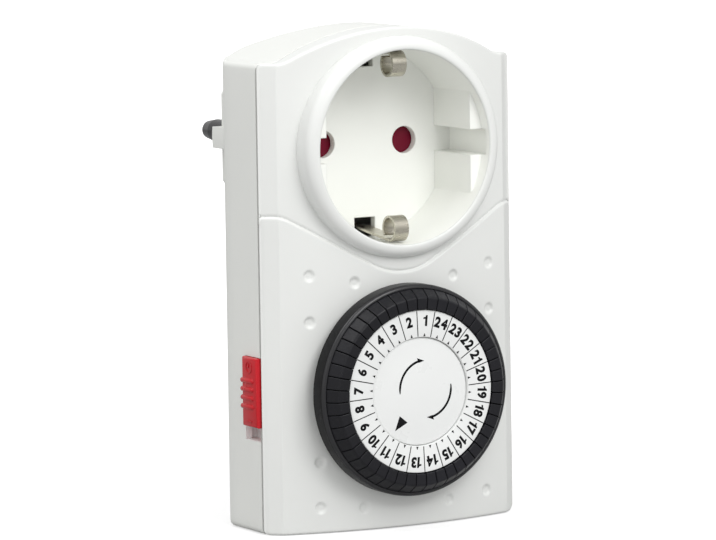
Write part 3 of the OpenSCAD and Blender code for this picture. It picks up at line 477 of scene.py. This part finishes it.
def base_face(x, d):
    """Y of the bowed face with its two bevels and rounded ends, at distance d from the outline."""
    bow = FACE + BOW - np.sqrt(BOW ** 2 - x ** 2)
    bevel = SEAM - (EDGE - SEAM) / (FACE_HALF - HALF_W) * (HALF_W - np.abs(x))
    y = smooth_max(bow, bevel, 0.07)
    r = FACE_ROUND
    t = np.clip(r - d, 0, r)
    return np.minimum(GROOVE_FRONT, y + r - np.sqrt(r * r - t * t))


def collar_y(r):
    """Y of the collar's front at radius r."""
    y = np.full_like(r, RIM)
    y = y + LIP * rounding(np.clip((r - (COLLAR_R - LIP)) / LIP, 0, 1))
    return y + RIM_ROUND_D * rounding(np.clip((WELL_R + RIM_ROUND_W - r) / RIM_ROUND_W, 0, 1))


def front_y(co):
    """Y of the front at points seen from the front."""
    x, z = co[:, 0], co[:, 1]
    y = base_face(x, to_line(co, RING0))
    # raised panel below its curve, with a groove along its edge
    px = np.array(PANEL)
    above = z - np.interp(x, px[:, 0], px[:, 1])
    dist = to_line(co, PANEL, False) * np.sign(above)
    fade = step01((HALF_W - 0.1 - np.abs(x)) / 0.5)
    y = y - PANEL_STEP * step01(0.5 - dist / PANEL_EDGE) * fade
    y = y + np.exp(-((dist - PANEL_EDGE) / PANEL_GROOVE_W) ** 2) * PANEL_GROOVE_D * fade
    for cx, cz in DIMPLES:
        r = np.hypot(x - cx, z - cz)
        y = y + DIMPLE_D * step01((DIMPLE_R - r) / DIMPLE_W)
    # collar, with a fine groove around its foot
    r = np.hypot(x, z - SOCK_Z)
    out = y + FOOT_D * np.exp(-((r - COLLAR_R - FOOT_W) / FOOT_W) ** 2)
    return np.where(r <= COLLAR_R + 0.001, np.minimum(y, collar_y(r)), out)


def front_points():
    """Mesh points that follow the front's forms: outline, collar, dimples, panel edge and bevels."""
    pts = [p for d in (0.08, 0.18, 0.3, 0.45, 0.6, 0.9) for p in outline(d)]
    for r in (19.68, 19.8, 19.95, 20.2, 20.55, 20.9, 21.2, 21.5, 21.8, 22.0, 22.15, 22.25, 22.3,
              22.33, 22.42, 22.55, 22.75, 23.05):
        pts += circle(0, SOCK_Z, r, 144)
    for cx, cz in DIMPLES:
        pts.append((cx, cz))
        for r, n in ((0.35, 8), (0.6, 12), (0.8, 16), (1.0, 18), (1.2, 20), (1.4, 22), (1.65, 24)):
            pts += circle(cx, cz, r, n)
    for d in (-0.5, -0.22, -0.1, 0.0, 0.1, 0.22, 0.36, 0.5, 0.68, 0.95):
        pts += [p for p in offset_line(PANEL, d) if math.hypot(p[0], p[1] - SOCK_Z) > 23.2]
    for s in (-1, 1):
        for x in (25.2, 25.8, 26.05, 26.13, 26.2, 26.27, 26.35, 26.6, 27.3, 28.0):
            pts += [(s * x, 3 + 0.9 * k) for k in range(101)]
    for r in (19.3, 19.5):
        pts += circle(0, DIAL_Z, r, 120)
    return pts


def front_shell():
    well_hole = circle(0, SOCK_Z, WELL_R, 144)
    dial_hole = circle(0, DIAL_Z, OPEN_R, 120)
    holes = [well_hole, dial_hole]
    pts = one_per_cell(within(front_points(), 0.06, holes))
    grid = [(-27.2 + 1.4 * i + 0.7 * (j % 2), 1.6 + 1.2 * j) for i in range(40) for j in range(84)]
    grid = thin(within(grid, 1.6, []), pts, 0.8)
    co, tris = sheet(pts + grid, RING0, holes)
    verts = [(x, y, z) for (x, z), y in zip(co, front_y(co))]
    faces = [tuple(t) for t in tris]
    # edge band back to the seam, with a small return that makes the seam's groove
    ring_y = front_y(np.array(RING0))
    rows = [[(x, y + (GROOVE_FRONT - y) * f, z) for (x, z), y in zip(RING0, ring_y)]
            for f in (0, 0.33, 0.66, 1.0)]
    rows += [[(x, GROOVE_FLOOR, z) for x, z in outline(d)] for d in (0.08, GROOVE_IN)]
    band(verts, faces, rows)
    # wall of the dial's opening
    hole_y = front_y(np.array(dial_hole))
    band(verts, faces, [[(x, y + d, z) for (x, z), y in zip(dial_hole, hole_y)]
                        for d in (0, OPENING_D)])
    ob = make("shell_front", verts, faces, "shell", "housing", 35)
    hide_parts("front_housing")


front_shell()


def in_well(m):
    """Faces of the well behind its rim, without the middle of its floor's back."""
    r = math.hypot(m[0], m[2] - SOCK_Z)
    return (r < 20.4 and -12.72 < m[1] < 6.15) and not (m[1] > 6.05 and r < 1.7)


# the well's lighter white is painted fill light in the deep recess
well = cad_part("socket_well", "front_housing", in_well, "well", "housing")


# ---------------------------------------------------------------- rear shell
BACK_ROUND = 0.8
POCKET_BACK = SEAM + SLIDER_D + 0.1
LEFT_SIDE = -28


def back_y(co):
    """Y of the back and its four slopes at points seen from behind."""
    x, z = co[:, 0], co[:, 1]
    k = (BACK - SIDE_END) / SLOPE_IN
    y = SIDE_END + k * (HALF_W - np.abs(x))
    for other in (SIDE_END + k * z, SIDE_END + k * (CROWN - z), np.full_like(x, BACK)):
        y = smooth_min(y, other, BACK_ROUND)
    r = BACK_ROUND
    t = np.clip(r - to_line(co, RING0), 0, r)
    return np.maximum(y - (r - np.sqrt(r * r - t * t)), SIDE_END - 0.6)


def rear_points():
    """Mesh points that follow the outline, the slopes' edges and the screw holes."""
    pts = [p for d in (0.15, 0.35, 0.6, 0.9) for p in outline(d)]
    for s in (-1, 1):
        for x in (23.9, 24.3, 24.6, 24.9, 25.3, 26.5, 27.8):
            pts += [(s * x, 2 + 1.1 * k) for k in range(84)]
    for z in (3.9, 4.3, 4.6, 4.9, 5.3, 2.0, 3.0, 96.1, 96.5, 96.8, 97.1, 97.5, 98.5):
        pts += [(-28 + 1.0 * k, z) for k in range(57)]
    for x, z in SCREWS:
        for r in (2.95, 3.2):
            pts += circle(x, z, r, 40)
    return pts


def to_pocket(x, y, z):
    """A point of the left side, moved to the pocket's end where it lies near one."""
    if x < LEFT_SIDE:
        for end in POCKET_Z:
            if abs(z - end) < 0.52:
                z = end
    return (x, y, z)


def at_pocket(r, a, b):
    """Quads of the side before the pocket's back, which stay open for the slider."""
    return r <= 2 and a[0] < LEFT_SIDE and POCKET_Z[0] < (a[2] + b[2]) / 2 < POCKET_Z[1]


def rear_shell():
    holes = [circle(x, z, 2.8, 40) for x, z in SCREWS]
    pts = one_per_cell(within(rear_points(), 0.06, holes))
    grid = [(-27 + 1.8 * i, 2 + 1.8 * j) for i in range(31) for j in range(55)]
    grid = thin(within(grid, 1.2, holes), pts, 0.8)
    co, tris = sheet(pts + grid, RING0, holes)
    verts = [(x, y, z) for (x, z), y in zip(co, back_y(co))]
    faces = [tuple(t) for t in tris]
    rows = [[(x, y, z) for x, z in outline(d)] for d, y in (
        (GROOVE_IN, REAR_FLOOR), (0.10, REAR_FLOOR), (0.0, REAR_EDGE), (0.0, POCKET_BACK), (0.0, 6.5))]
    rows.append([(x, y, z) for (x, z), y in zip(RING0, back_y(np.array(RING0)))])
    band(verts, faces, [[to_pocket(*p) for p in row] for row in rows], at_pocket)
    ob = make("shell_rear", verts, faces, "rear", "housing", 35)
    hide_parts("rear_housing")


def rear_detail(m):
    """Faces of the plug boss, the screw recesses and the slots of the outer earth clips."""
    if m[1] > BACK + 0.001:
        return True
    for x, z in SCREWS:
        if math.hypot(m[0] - x, m[2] - z) < 2.85 and m[1] > 9.5:
            return True
    up = m[2] - SOCK_Z
    return math.hypot(m[0], up) < 18.8 and m[1] > 16.3 and abs(m[0]) < 3 and abs(up) > 15


def in_pocket(m):
    return -29.19 < m[0] < -25.8 and m[1] < 3.7 and POCKET_Z[0] - 0.1 < m[2] < POCKET_Z[1] + 0.1


rear_shell()
boss = cad_part("plug_boss", "rear_housing", rear_detail, "rear", "housing")
# the pocket's lighter white is painted fill light in the recess
pocket = cad_part("slider_pocket", "rear_housing", in_pocket, "pocket", "housing")


# ---------------------------------------------------------------- dial tabs
HOURS, TABS = 24, 48
TAB_FRONT = DISC_FRONT - 0.5
TAB_BACK = TAB_FRONT + 2.8
TAB_IN = DISC_R + 0.2
TAB_OUT = RIM_IN - 0.03
TAB_PITCH = 360 / TABS
HALF_GAP = 0.07
LEG_END = DISC_FRONT + 7.1


def polar(r, a, y):
    """Point on the dial at radius r and angle a clockwise from the top."""
    t = math.radians(a)
    return (r * math.sin(t), y, DIAL_Z + r * math.cos(t))


def tab_mesh(bm, mid):
    """One bevelled push-in tab about its middle angle, with the leg behind it."""
    profile = [(TAB_IN, TAB_FRONT), (TAB_IN + 2.3, TAB_FRONT), (TAB_IN + 2.6, TAB_FRONT + 0.3),
               (TAB_OUT - 0.15, TAB_BACK - 0.6), (TAB_OUT, TAB_BACK - 0.2), (TAB_OUT, TAB_BACK),
               (TAB_IN, TAB_BACK)]
    sides = []
    for s in (-1, 1):
        row = []
        for r, y in profile:
            turn = s * (TAB_PITCH / 2 - math.degrees(HALF_GAP / r))
            row.append(bm.verts.new([c * MM for c in polar(r, mid + turn, y)]))
        sides.append(row)
    n = len(profile)
    faces = [bm.faces.new(sides[0]), bm.faces.new(list(reversed(sides[1])))]
    for i in range(n):
        j = (i + 1) % n
        faces.append(bm.faces.new((sides[0][i], sides[1][i], sides[1][j], sides[0][j])))
    front = [e for e in edges_of(faces) if min(v.co.y for v in e.verts) < (TAB_BACK - 0.3) * MM]
    bmesh.ops.bevel(bm, geom=front, offset=0.15 * MM, segments=2, profile=0.5, affect="EDGES")
    near, far = TAB_IN + 0.4, TAB_IN + 1.8
    leg = [(-0.6, near), (0.6, near), (0.6, far), (-0.6, far)]
    c, s = math.cos(math.radians(mid)), math.sin(math.radians(mid))
    rows = [[bm.verts.new([k * MM for k in (u * c + w * s, y, DIAL_Z - u * s + w * c)])
             for u, w in leg] for y in (TAB_BACK - 0.1, LEG_END)]
    for i in range(4):
        j = (i + 1) % 4
        bm.faces.new((rows[0][i], rows[0][j], rows[1][j], rows[1][i]))
    bm.faces.new(rows[1])


def tab_pairs():
    for k in range(HOURS):
        bm = bmesh.new()
        for n in (0, 1):
            tab_mesh(bm, DIAL_TURN + (2 * k + n + 0.5) * TAB_PITCH)
        bmesh.ops.recalc_face_normals(bm, faces=bm.faces)
        me = bpy.data.meshes.new("tabs_%02d" % (k + 1))
        bm.to_mesh(me)
        bm.free()
        for f in me.polygons:
            f.use_smooth = False
        ob = new_object("tabs_%02d" % (k + 1), me, "tab")
        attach(ob, "hour_%02d" % (k + 1))
        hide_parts("segment_pair_%02d" % (k + 1))


tab_pairs()


# ---------------------------------------------------------------- number disc, cap and dial body
def lathe(name, profile, key, body, closed=True):
    """Solid of revolution about the dial's axis from (radius, y) points."""
    steps = 180
    verts, faces = [], []
    m = len(profile)
    for i in range(steps):
        verts += [polar(r, 360 * i / steps, y) for r, y in profile]
    for i in range(steps):
        j = (i + 1) % steps
        for a in range(m if closed else m - 1):
            b = (a + 1) % m
            if profile[a][0] == 0 and profile[b][0] == 0:
                continue
            faces.append((i * m + a, i * m + b, j * m + b, j * m + a))
    return make(name, verts, faces, key, body, 35)


def disc_and_cap():
    """Number disc with the floor of its recess, and the fixed cap in the recess on its post."""
    y, edge, floor = DISC_FRONT, DISC_IN - 0.13, CAP_R - 0.5
    disc = lathe("disc_ring", [
        (DISC_R, y + 0.8), (DISC_R, y + 0.08), (DISC_R - 0.08, y), (DISC_IN + 0.02, y),
        (DISC_IN - 0.08, y + 0.03), (edge, y + 0.12), (edge, y + 1.35), (floor, y + 1.35),
        (floor, y + 1.45), (DISC_IN, y + 1.45), (DISC_IN, y + 0.8)], "disc", "dial")
    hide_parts("number_disc")
    y, post = CAP_FRONT, 1.25
    cap = lathe("cap_body", [
        (0, y), (CAP_R - 0.45, y), (CAP_R - 0.2, y + 0.05), (CAP_R - 0.05, y + 0.16),
        (CAP_R, y + 0.34), (CAP_R, y + 0.8), (post, y + 0.8), (post, y + 5.3), (0, y + 5.3)],
        "cap", "housing", closed=False)
    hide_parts("centre_cap")


disc_and_cap()


def dial_body():
    """The carrier's own faces, with its outer wall redrawn to a rounded front edge."""
    top, r = DIAL_BACK - 3.8, DIAL_EDGE
    wall = [(DIAL_R - 0.5, DIAL_BACK), (DIAL_R - 0.12, DIAL_BACK), (DIAL_R, DIAL_BACK - 0.12)]
    wall += [(DIAL_R - r + r * math.cos(a), top + r - r * math.sin(a))
             for a in (math.radians(9 * i) for i in range(11))]
    wall += [(RIM_IN, DIAL_BACK - 1.0)]
    rim = lathe("dial_rim", wall, "ring", "dial", closed=False)
    # the rounded edge gets a glossier black, painted lighter as a highlight line
    rim.data.materials.append(MAT["rim_painted_highlight"])
    for f in rim.data.polygons:
        y = sum((rim.data.vertices[v].co.y for v in f.vertices), 0.0) / len(f.vertices) * 1000
        f.material_index = int(y < top + 0.55)
    body = cad_part("dial_body", "dial_carrier",
                    lambda m: math.hypot(m[0], m[2] - DIAL_Z) < RIM_IN - 0.02 or m[1] > DIAL_BACK - 0.02,
                    "ring", "dial")
    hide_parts("dial_carrier")
    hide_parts("dial_carrier")


dial_body()


# ---------------------------------------------------------------- print on the dial
PRINT_LIFT = 0.012
DIGIT_H, DIGIT_R, DIGIT_WIDE, DIGIT_GAP = 2.22, 14.35, 0.94, 0.09
MARK_IN = DISC_IN + 0.02


def text_mesh(word):
    """Points and faces of a word in the built-in font, slightly bold."""
    cu = bpy.data.curves.new("t", "FONT")
    cu.body = word
    cu.size = 1.0
    cu.offset = 0.05
    cu.align_x = "CENTER"
    cu.align_y = "CENTER"
    cu.resolution_u = 4
    ob = bpy.data.objects.new("t", cu)
    bpy.context.scene.collection.objects.link(ob)
    bpy.context.view_layer.update()
    me = bpy.data.meshes.new_from_object(ob)
    out = ([(v.co.x, v.co.y) for v in me.vertices], [tuple(f.vertices) for f in me.polygons])
    bpy.data.objects.remove(ob)
    bpy.data.curves.remove(cu)
    bpy.data.meshes.remove(me)
    return out


def ink_piece(name, shapes, y, body):
    """Flat print: shapes are (2D points across and up, faces) already in place, in mm."""
    verts, faces = [], []
    for pts, fs in shapes:
        b = len(verts)
        verts += [(x, y, z) for x, z in pts]
        faces += [[b + i for i in f] for f in fs]
    ob = make(name, verts, faces, "ink", body)


def spun(pts, a, r=0.0):
    """2D points moved out by r and turned clockwise by a about the dial's axis."""
    c, s = math.cos(math.radians(a)), math.sin(math.radians(a))
    return [(x * c + (y + r) * s, DIAL_Z - x * s + (y + r) * c) for x, y in pts]


def digit(ch):
    """One character of the print: points, faces and its width, in units of its height."""
    if ch == "1":
        pts = [(0.20, 0.0), (0.43, 0.0), (0.43, 1.0), (0.28, 1.0), (0.19, 0.84), (0.0, 0.78),
               (0.0, 0.62), (0.20, 0.67)]
        return pts, [(0, 1, 2, 3, 4, 7), (4, 5, 6, 7)], 0.43
    pts, fs = text_mesh(ch)
    x, z = [p[0] for p in pts], [p[1] for p in pts]
    h = max(z) - min(z)
    pts = [((a - min(x)) / h * DIGIT_WIDE, (c - min(z)) / h) for a, c in pts]
    return pts, fs, (max(x) - min(x)) / h * DIGIT_WIDE


def number(word, h):
    """Points and faces of a number of height h, centred."""
    pts, faces, at = [], [], 0.0
    for ch in word:
        p, f, w = digit(ch)
        faces += [tuple(len(pts) + i for i in t) for t in f]
        pts += [(at + x, z - 0.5) for x, z in p]
        at += w + DIGIT_GAP
    return [((x - (at - DIGIT_GAP) / 2) * h, z * h) for x, z in pts], faces


def dial_print():
    """Numbers, hour lines and half hour marks of the number disc."""
    hour = 360 // HOURS
    edge = DISC_R - 0.05
    border = [(-0.1, MARK_IN), (0.1, MARK_IN), (0.1, edge), (-0.1, edge)]
    tick = [(-0.27, MARK_IN), (0.27, MARK_IN), (0.0, DISC_IN + 0.7)]
    shapes = []
    for k in range(HOURS):
        mid = DIAL_TURN - (k - 0.5) * hour
        pts, fs = number(str(k + 1), DIGIT_H)
        shapes.append((spun(pts, mid, DIGIT_R), fs))
        shapes.append((spun(border, mid + hour / 2), [(0, 1, 2, 3)]))
        shapes.append((spun(tick, mid), [(0, 1, 2)]))
    ink_piece("dial_numbers", shapes, DISC_FRONT - PRINT_LIFT, "dial")


def arrow(turn):
    """Curved arrow of the cap, turned about the arrows' own centre."""
    r, half_w, n = 5.93, 0.24, 24
    start, sweep = 264, 82
    cx, cz = 1.35, 0.38
    pts, fs = [], []
    for i in range(n + 1):
        a = start + sweep * i / n
        half = half_w * min(1.0, 0.45 + i / 6)
        pts += [(r - half, a), (r + half, a)]
        if i:
            fs.append((2 * i - 2, 2 * i - 1, 2 * i + 1, 2 * i))
    k = len(pts)
    pts += [(5.60, 344), (6.66, 343.5), (5.76, 358)]
    fs.append((k, k + 1, k + 2))
    flat = [(d * math.sin(math.radians(a + turn)) + cx, d * math.cos(math.radians(a + turn)) + cz)
            for d, a in pts]
    return spun(flat, 0), fs


def cap_print():
    """The two arrows and the pointer."""
    mark = spun([(-4.72, -4.66), (-2.92, -6.11), (-5.84, -7.61)], 0)
    ink_piece("cap_marks", [arrow(0), arrow(180), (mark, [(0, 1, 2)])], CAP_FRONT - PRINT_LIFT,
              "housing")


dial_print()
cap_print()


# ---------------------------------------------------------------- override slider
SLIDE_OUT, SLIDE_IN = -(HALF_W + SLIDER_PROUD), -26.4
SLIDE_Y = (SEAM + 0.1, SEAM + SLIDER_D)
RIBS, RIB_PITCH, FIRST_RIB = 4, 1.75, 4.75
RIB_H, RIB_HALF = 0.45, 0.52
SIGN_H = 0.16


def block(bm, a, b):
    """A plain block between two corners in mm; returns its edges."""
    vs = [bm.verts.new((x * MM, y * MM, z * MM))
          for x in (a[0], b[0]) for y in (a[1], b[1]) for z in (a[2], b[2])]
    quads = [(0, 1, 3, 2), (4, 6, 7, 5), (0, 4, 5, 1), (2, 3, 7, 6), (0, 2, 6, 4), (1, 5, 7, 3)]
    fs = [bm.faces.new([vs[i] for i in q]) for q in quads]
    return edges_of(fs)


def rib(bm, zc):
    """Half-round grip rib that runs out towards the seam."""
    n = 10
    y0, y1 = SLIDE_Y
    ring = []
    for y, h in ((y0 + 1.15, 0.05), (y0 + 1.35, 0.75), (y0 + 1.65, 1.0), (y1 - 0.2, 1.0),
                 (y1 - 0.02, 0.85)):
        up, out = RIB_HALF * max(h, 0.3), RIB_H * h
        ring.append([bm.verts.new((MM * (SLIDE_OUT + 0.05 - out * math.sin(math.pi * i / n)), y * MM,
                                   MM * (zc + up * math.cos(math.pi * i / n)))) for i in range(n + 1)])
    for r in range(len(ring) - 1):
        for i in range(n):
            bm.faces.new((ring[r][i], ring[r][i + 1], ring[r + 1][i + 1], ring[r + 1][i]))
    bm.faces.new(ring[-1])


def slider_body():
    """Button with its foot, finger and grip ribs."""
    y0, y1 = SLIDE_Y
    z0, z1 = SLIDER_Z
    bm = bmesh.new()
    edges = block(bm, (SLIDE_OUT, y0, z0), (SLIDE_IN, y1, z1))
    outer = [e for e in edges if all(v.co.x < (SLIDE_OUT + 0.2) * MM for v in e.verts)]
    bmesh.ops.bevel(bm, geom=outer, offset=0.45 * MM, segments=3, profile=0.5, affect="EDGES")
    block(bm, (SLIDE_IN - 1.2, y1 - 0.5, z0), (SLIDE_IN, y1 + 0.7, z1))
    block(bm, (SLIDE_IN - 0.5, -3.2, z1 - 1.0), (-21.4, -2.6, z1))
    for k in range(RIBS):
        rib(bm, z1 - FIRST_RIB - RIB_PITCH * k)
    bmesh.ops.recalc_face_normals(bm, faces=bm.faces)
    mark_sharp(bm, 35)
    me = bpy.data.meshes.new("slider_body")
    bm.to_mesh(me)
    bm.free()
    ob = new_object("slider_body", me, "slider")
    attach(ob, "slider")
    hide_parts("override_slider")


def slider_signs():
    """Raised clock sign at the top of the button, and the bar at its bottom."""
    verts, faces = [], []
    yc, zc, zb = sum(SLIDE_Y) / 2, SLIDER_Z[1] - 1.95, SLIDER_Z[0] + 1.0

    def raised(poly):
        b, m = len(verts), len(poly)
        for dx in (0.0, SIGN_H):
            verts.extend([(SLIDE_OUT + 0.03 - dx, yc + a, c) for a, c in poly])
        for i in range(m):
            j = (i + 1) % m
            faces.append((b + i, b + j, b + m + j, b + m + i))
        faces.append(tuple(b + m + i for i in range(m)))

    for i in range(20):
        a0, a1 = math.radians(18 * i), math.radians(18 * (i + 1))
        raised([(r * math.sin(a), zc + r * math.cos(a))
                for r, a in ((1.3, a0), (1.3, a1), (1.02, a1), (1.02, a0))])
    raised([(-0.13, zc), (0.13, zc), (0.13, zc + 0.85), (-0.13, zc + 0.85)])
    raised([(0.0, zc - 0.13), (0.6, zc - 0.13), (0.6, zc + 0.13), (0.0, zc + 0.13)])
    raised([(-1.0, zb), (1.0, zb), (1.0, zb + 0.35), (-1.0, zb + 0.35)])
    ob = make("slider_signs", verts, faces, "slider", "slider", 30)


slider_body()
slider_signs()

# ---------------------------------------------------------------- light, floor and camera
scene = bpy.context.scene
scene.view_settings.view_transform = "Standard"


def camera_mix(nt, plain, seen, surface):
    """Shader that is plain for light and seen for the camera."""
    ray = nt.nodes.new("ShaderNodeLightPath")
    mix = nt.nodes.new("ShaderNodeMixShader")
    nt.links.new(ray.outputs["Is Camera Ray"], mix.inputs["Fac"])
    nt.links.new(plain, mix.inputs[1])
    nt.links.new(seen, mix.inputs[2])
    nt.links.new(mix.outputs["Shader"], surface)


def studio_world():
    """Soft grey-white light all around, behind a white backdrop."""
    world = bpy.data.worlds.new("studio")
    scene.world = world
    world.use_nodes = True
    nt = world.node_tree
    light = nt.nodes["Background"]
    seen = nt.nodes.new("ShaderNodeBackground")
    for bg, strength in ((light, 0.72), (seen, 1.0)):
        bg.inputs["Color"].default_value = (1, 1, 1, 1)
        bg.inputs["Strength"].default_value = strength
    camera_mix(nt, light.outputs["Background"], seen.outputs["Background"],
               nt.nodes["World Output"].inputs["Surface"])


def area(name, loc, target, size, power):
    li = bpy.data.lights.new(name, "AREA")
    li.shape = "RECTANGLE"
    li.size, li.size_y = size
    li.energy = power
    ob = bpy.data.objects.new(name, li)
    scene.collection.objects.link(ob)
    ob.location = loc
    ob.rotation_euler = (Vector(target) - Vector(loc)).to_track_quat("-Z", "Y").to_euler()


def floor():
    """White paper that takes the shadow, and fades to the backdrop's white away from the object."""
    mat, nt, p = new_mat("floor_paper")
    p.inputs["Roughness"].default_value = 0.9
    greys = [(0.3, (0.45, 0.45, 0.45)), (0.7, (0.47, 0.47, 0.47))]
    nt.links.new(ramp(nt, noise(nt, 8, 2), greys), p.inputs["Base Color"])
    glow = nt.nodes.new("ShaderNodeEmission")
    glow.inputs["Color"].default_value = (1, 1, 1, 1)
    tc = nt.nodes.new("ShaderNodeTexCoord")
    far = nt.nodes.new("ShaderNodeVectorMath")
    far.operation = "LENGTH"
    nt.links.new(tc.outputs["Object"], far.inputs[0])
    nt.links.new(spread(nt, far.outputs["Value"], 0.60, 1.2, 0.09, 0.36), glow.inputs["Strength"])
    add = nt.nodes.new("ShaderNodeAddShader")
    nt.links.new(p.outputs["BSDF"], add.inputs[0])
    nt.links.new(glow.outputs["Emission"], add.inputs[1])
    camera_mix(nt, p.outputs["BSDF"], add.outputs["Shader"],
               nt.nodes["Material Output"].inputs["Surface"])
    me = bpy.data.meshes.new("floor_sheet")
    bm = bmesh.new()
    bmesh.ops.create_grid(bm, x_segments=4, y_segments=4, size=3.0)
    bm.to_mesh(me)
    bm.free()
    ob = bpy.data.objects.new("floor_sheet", me)
    scene.collection.objects.link(ob)
    me.materials.append(mat)
    ob.location = (0, 0, -0.0001)


def camera():
    """The photograph's view, fitted to the edges of the body, the well and the dial."""
    photo_w, focal_px, sensor = 716, 4890.67, 36
    place = (-0.48837, -0.86086, 0.15899)
    az, el, roll = math.radians(29.358), math.radians(6.205), math.radians(-0.8296)
    cam = bpy.data.cameras.new("camera")
    cam.sensor_width = sensor
    cam.lens = focal_px * sensor / photo_w
    cam.clip_start, cam.clip_end = 0.01, 20
    ob = bpy.data.objects.new("camera", cam)
    scene.collection.objects.link(ob)
    fwd = Vector((math.sin(az) * math.cos(el), math.cos(az) * math.cos(el), -math.sin(el)))
    level = Vector((math.cos(az), -math.sin(az), 0))
    steep = level.cross(fwd)
    right = math.cos(roll) * level + math.sin(roll) * steep
    up = -math.sin(roll) * level + math.cos(roll) * steep
    ob.matrix_world = Matrix([(right[i], up[i], -fwd[i], place[i]) for i in range(3)] + [(0, 0, 0, 1)])
    scene.camera = ob


studio_world()
area("overhead_light", (-0.33, 0.0, 0.58), (0, 0, 0.06), (0.35, 0.35), 1.05)
area("strip_light", (-0.60, -0.36, 0.22), (0, 0, 0.05), (0.05, 0.36), 0.20)
area("front_light", (0.03, -0.42, 0.40), (0, 0, 0.06), (0.30, 0.30), 1.60)
floor()
camera()
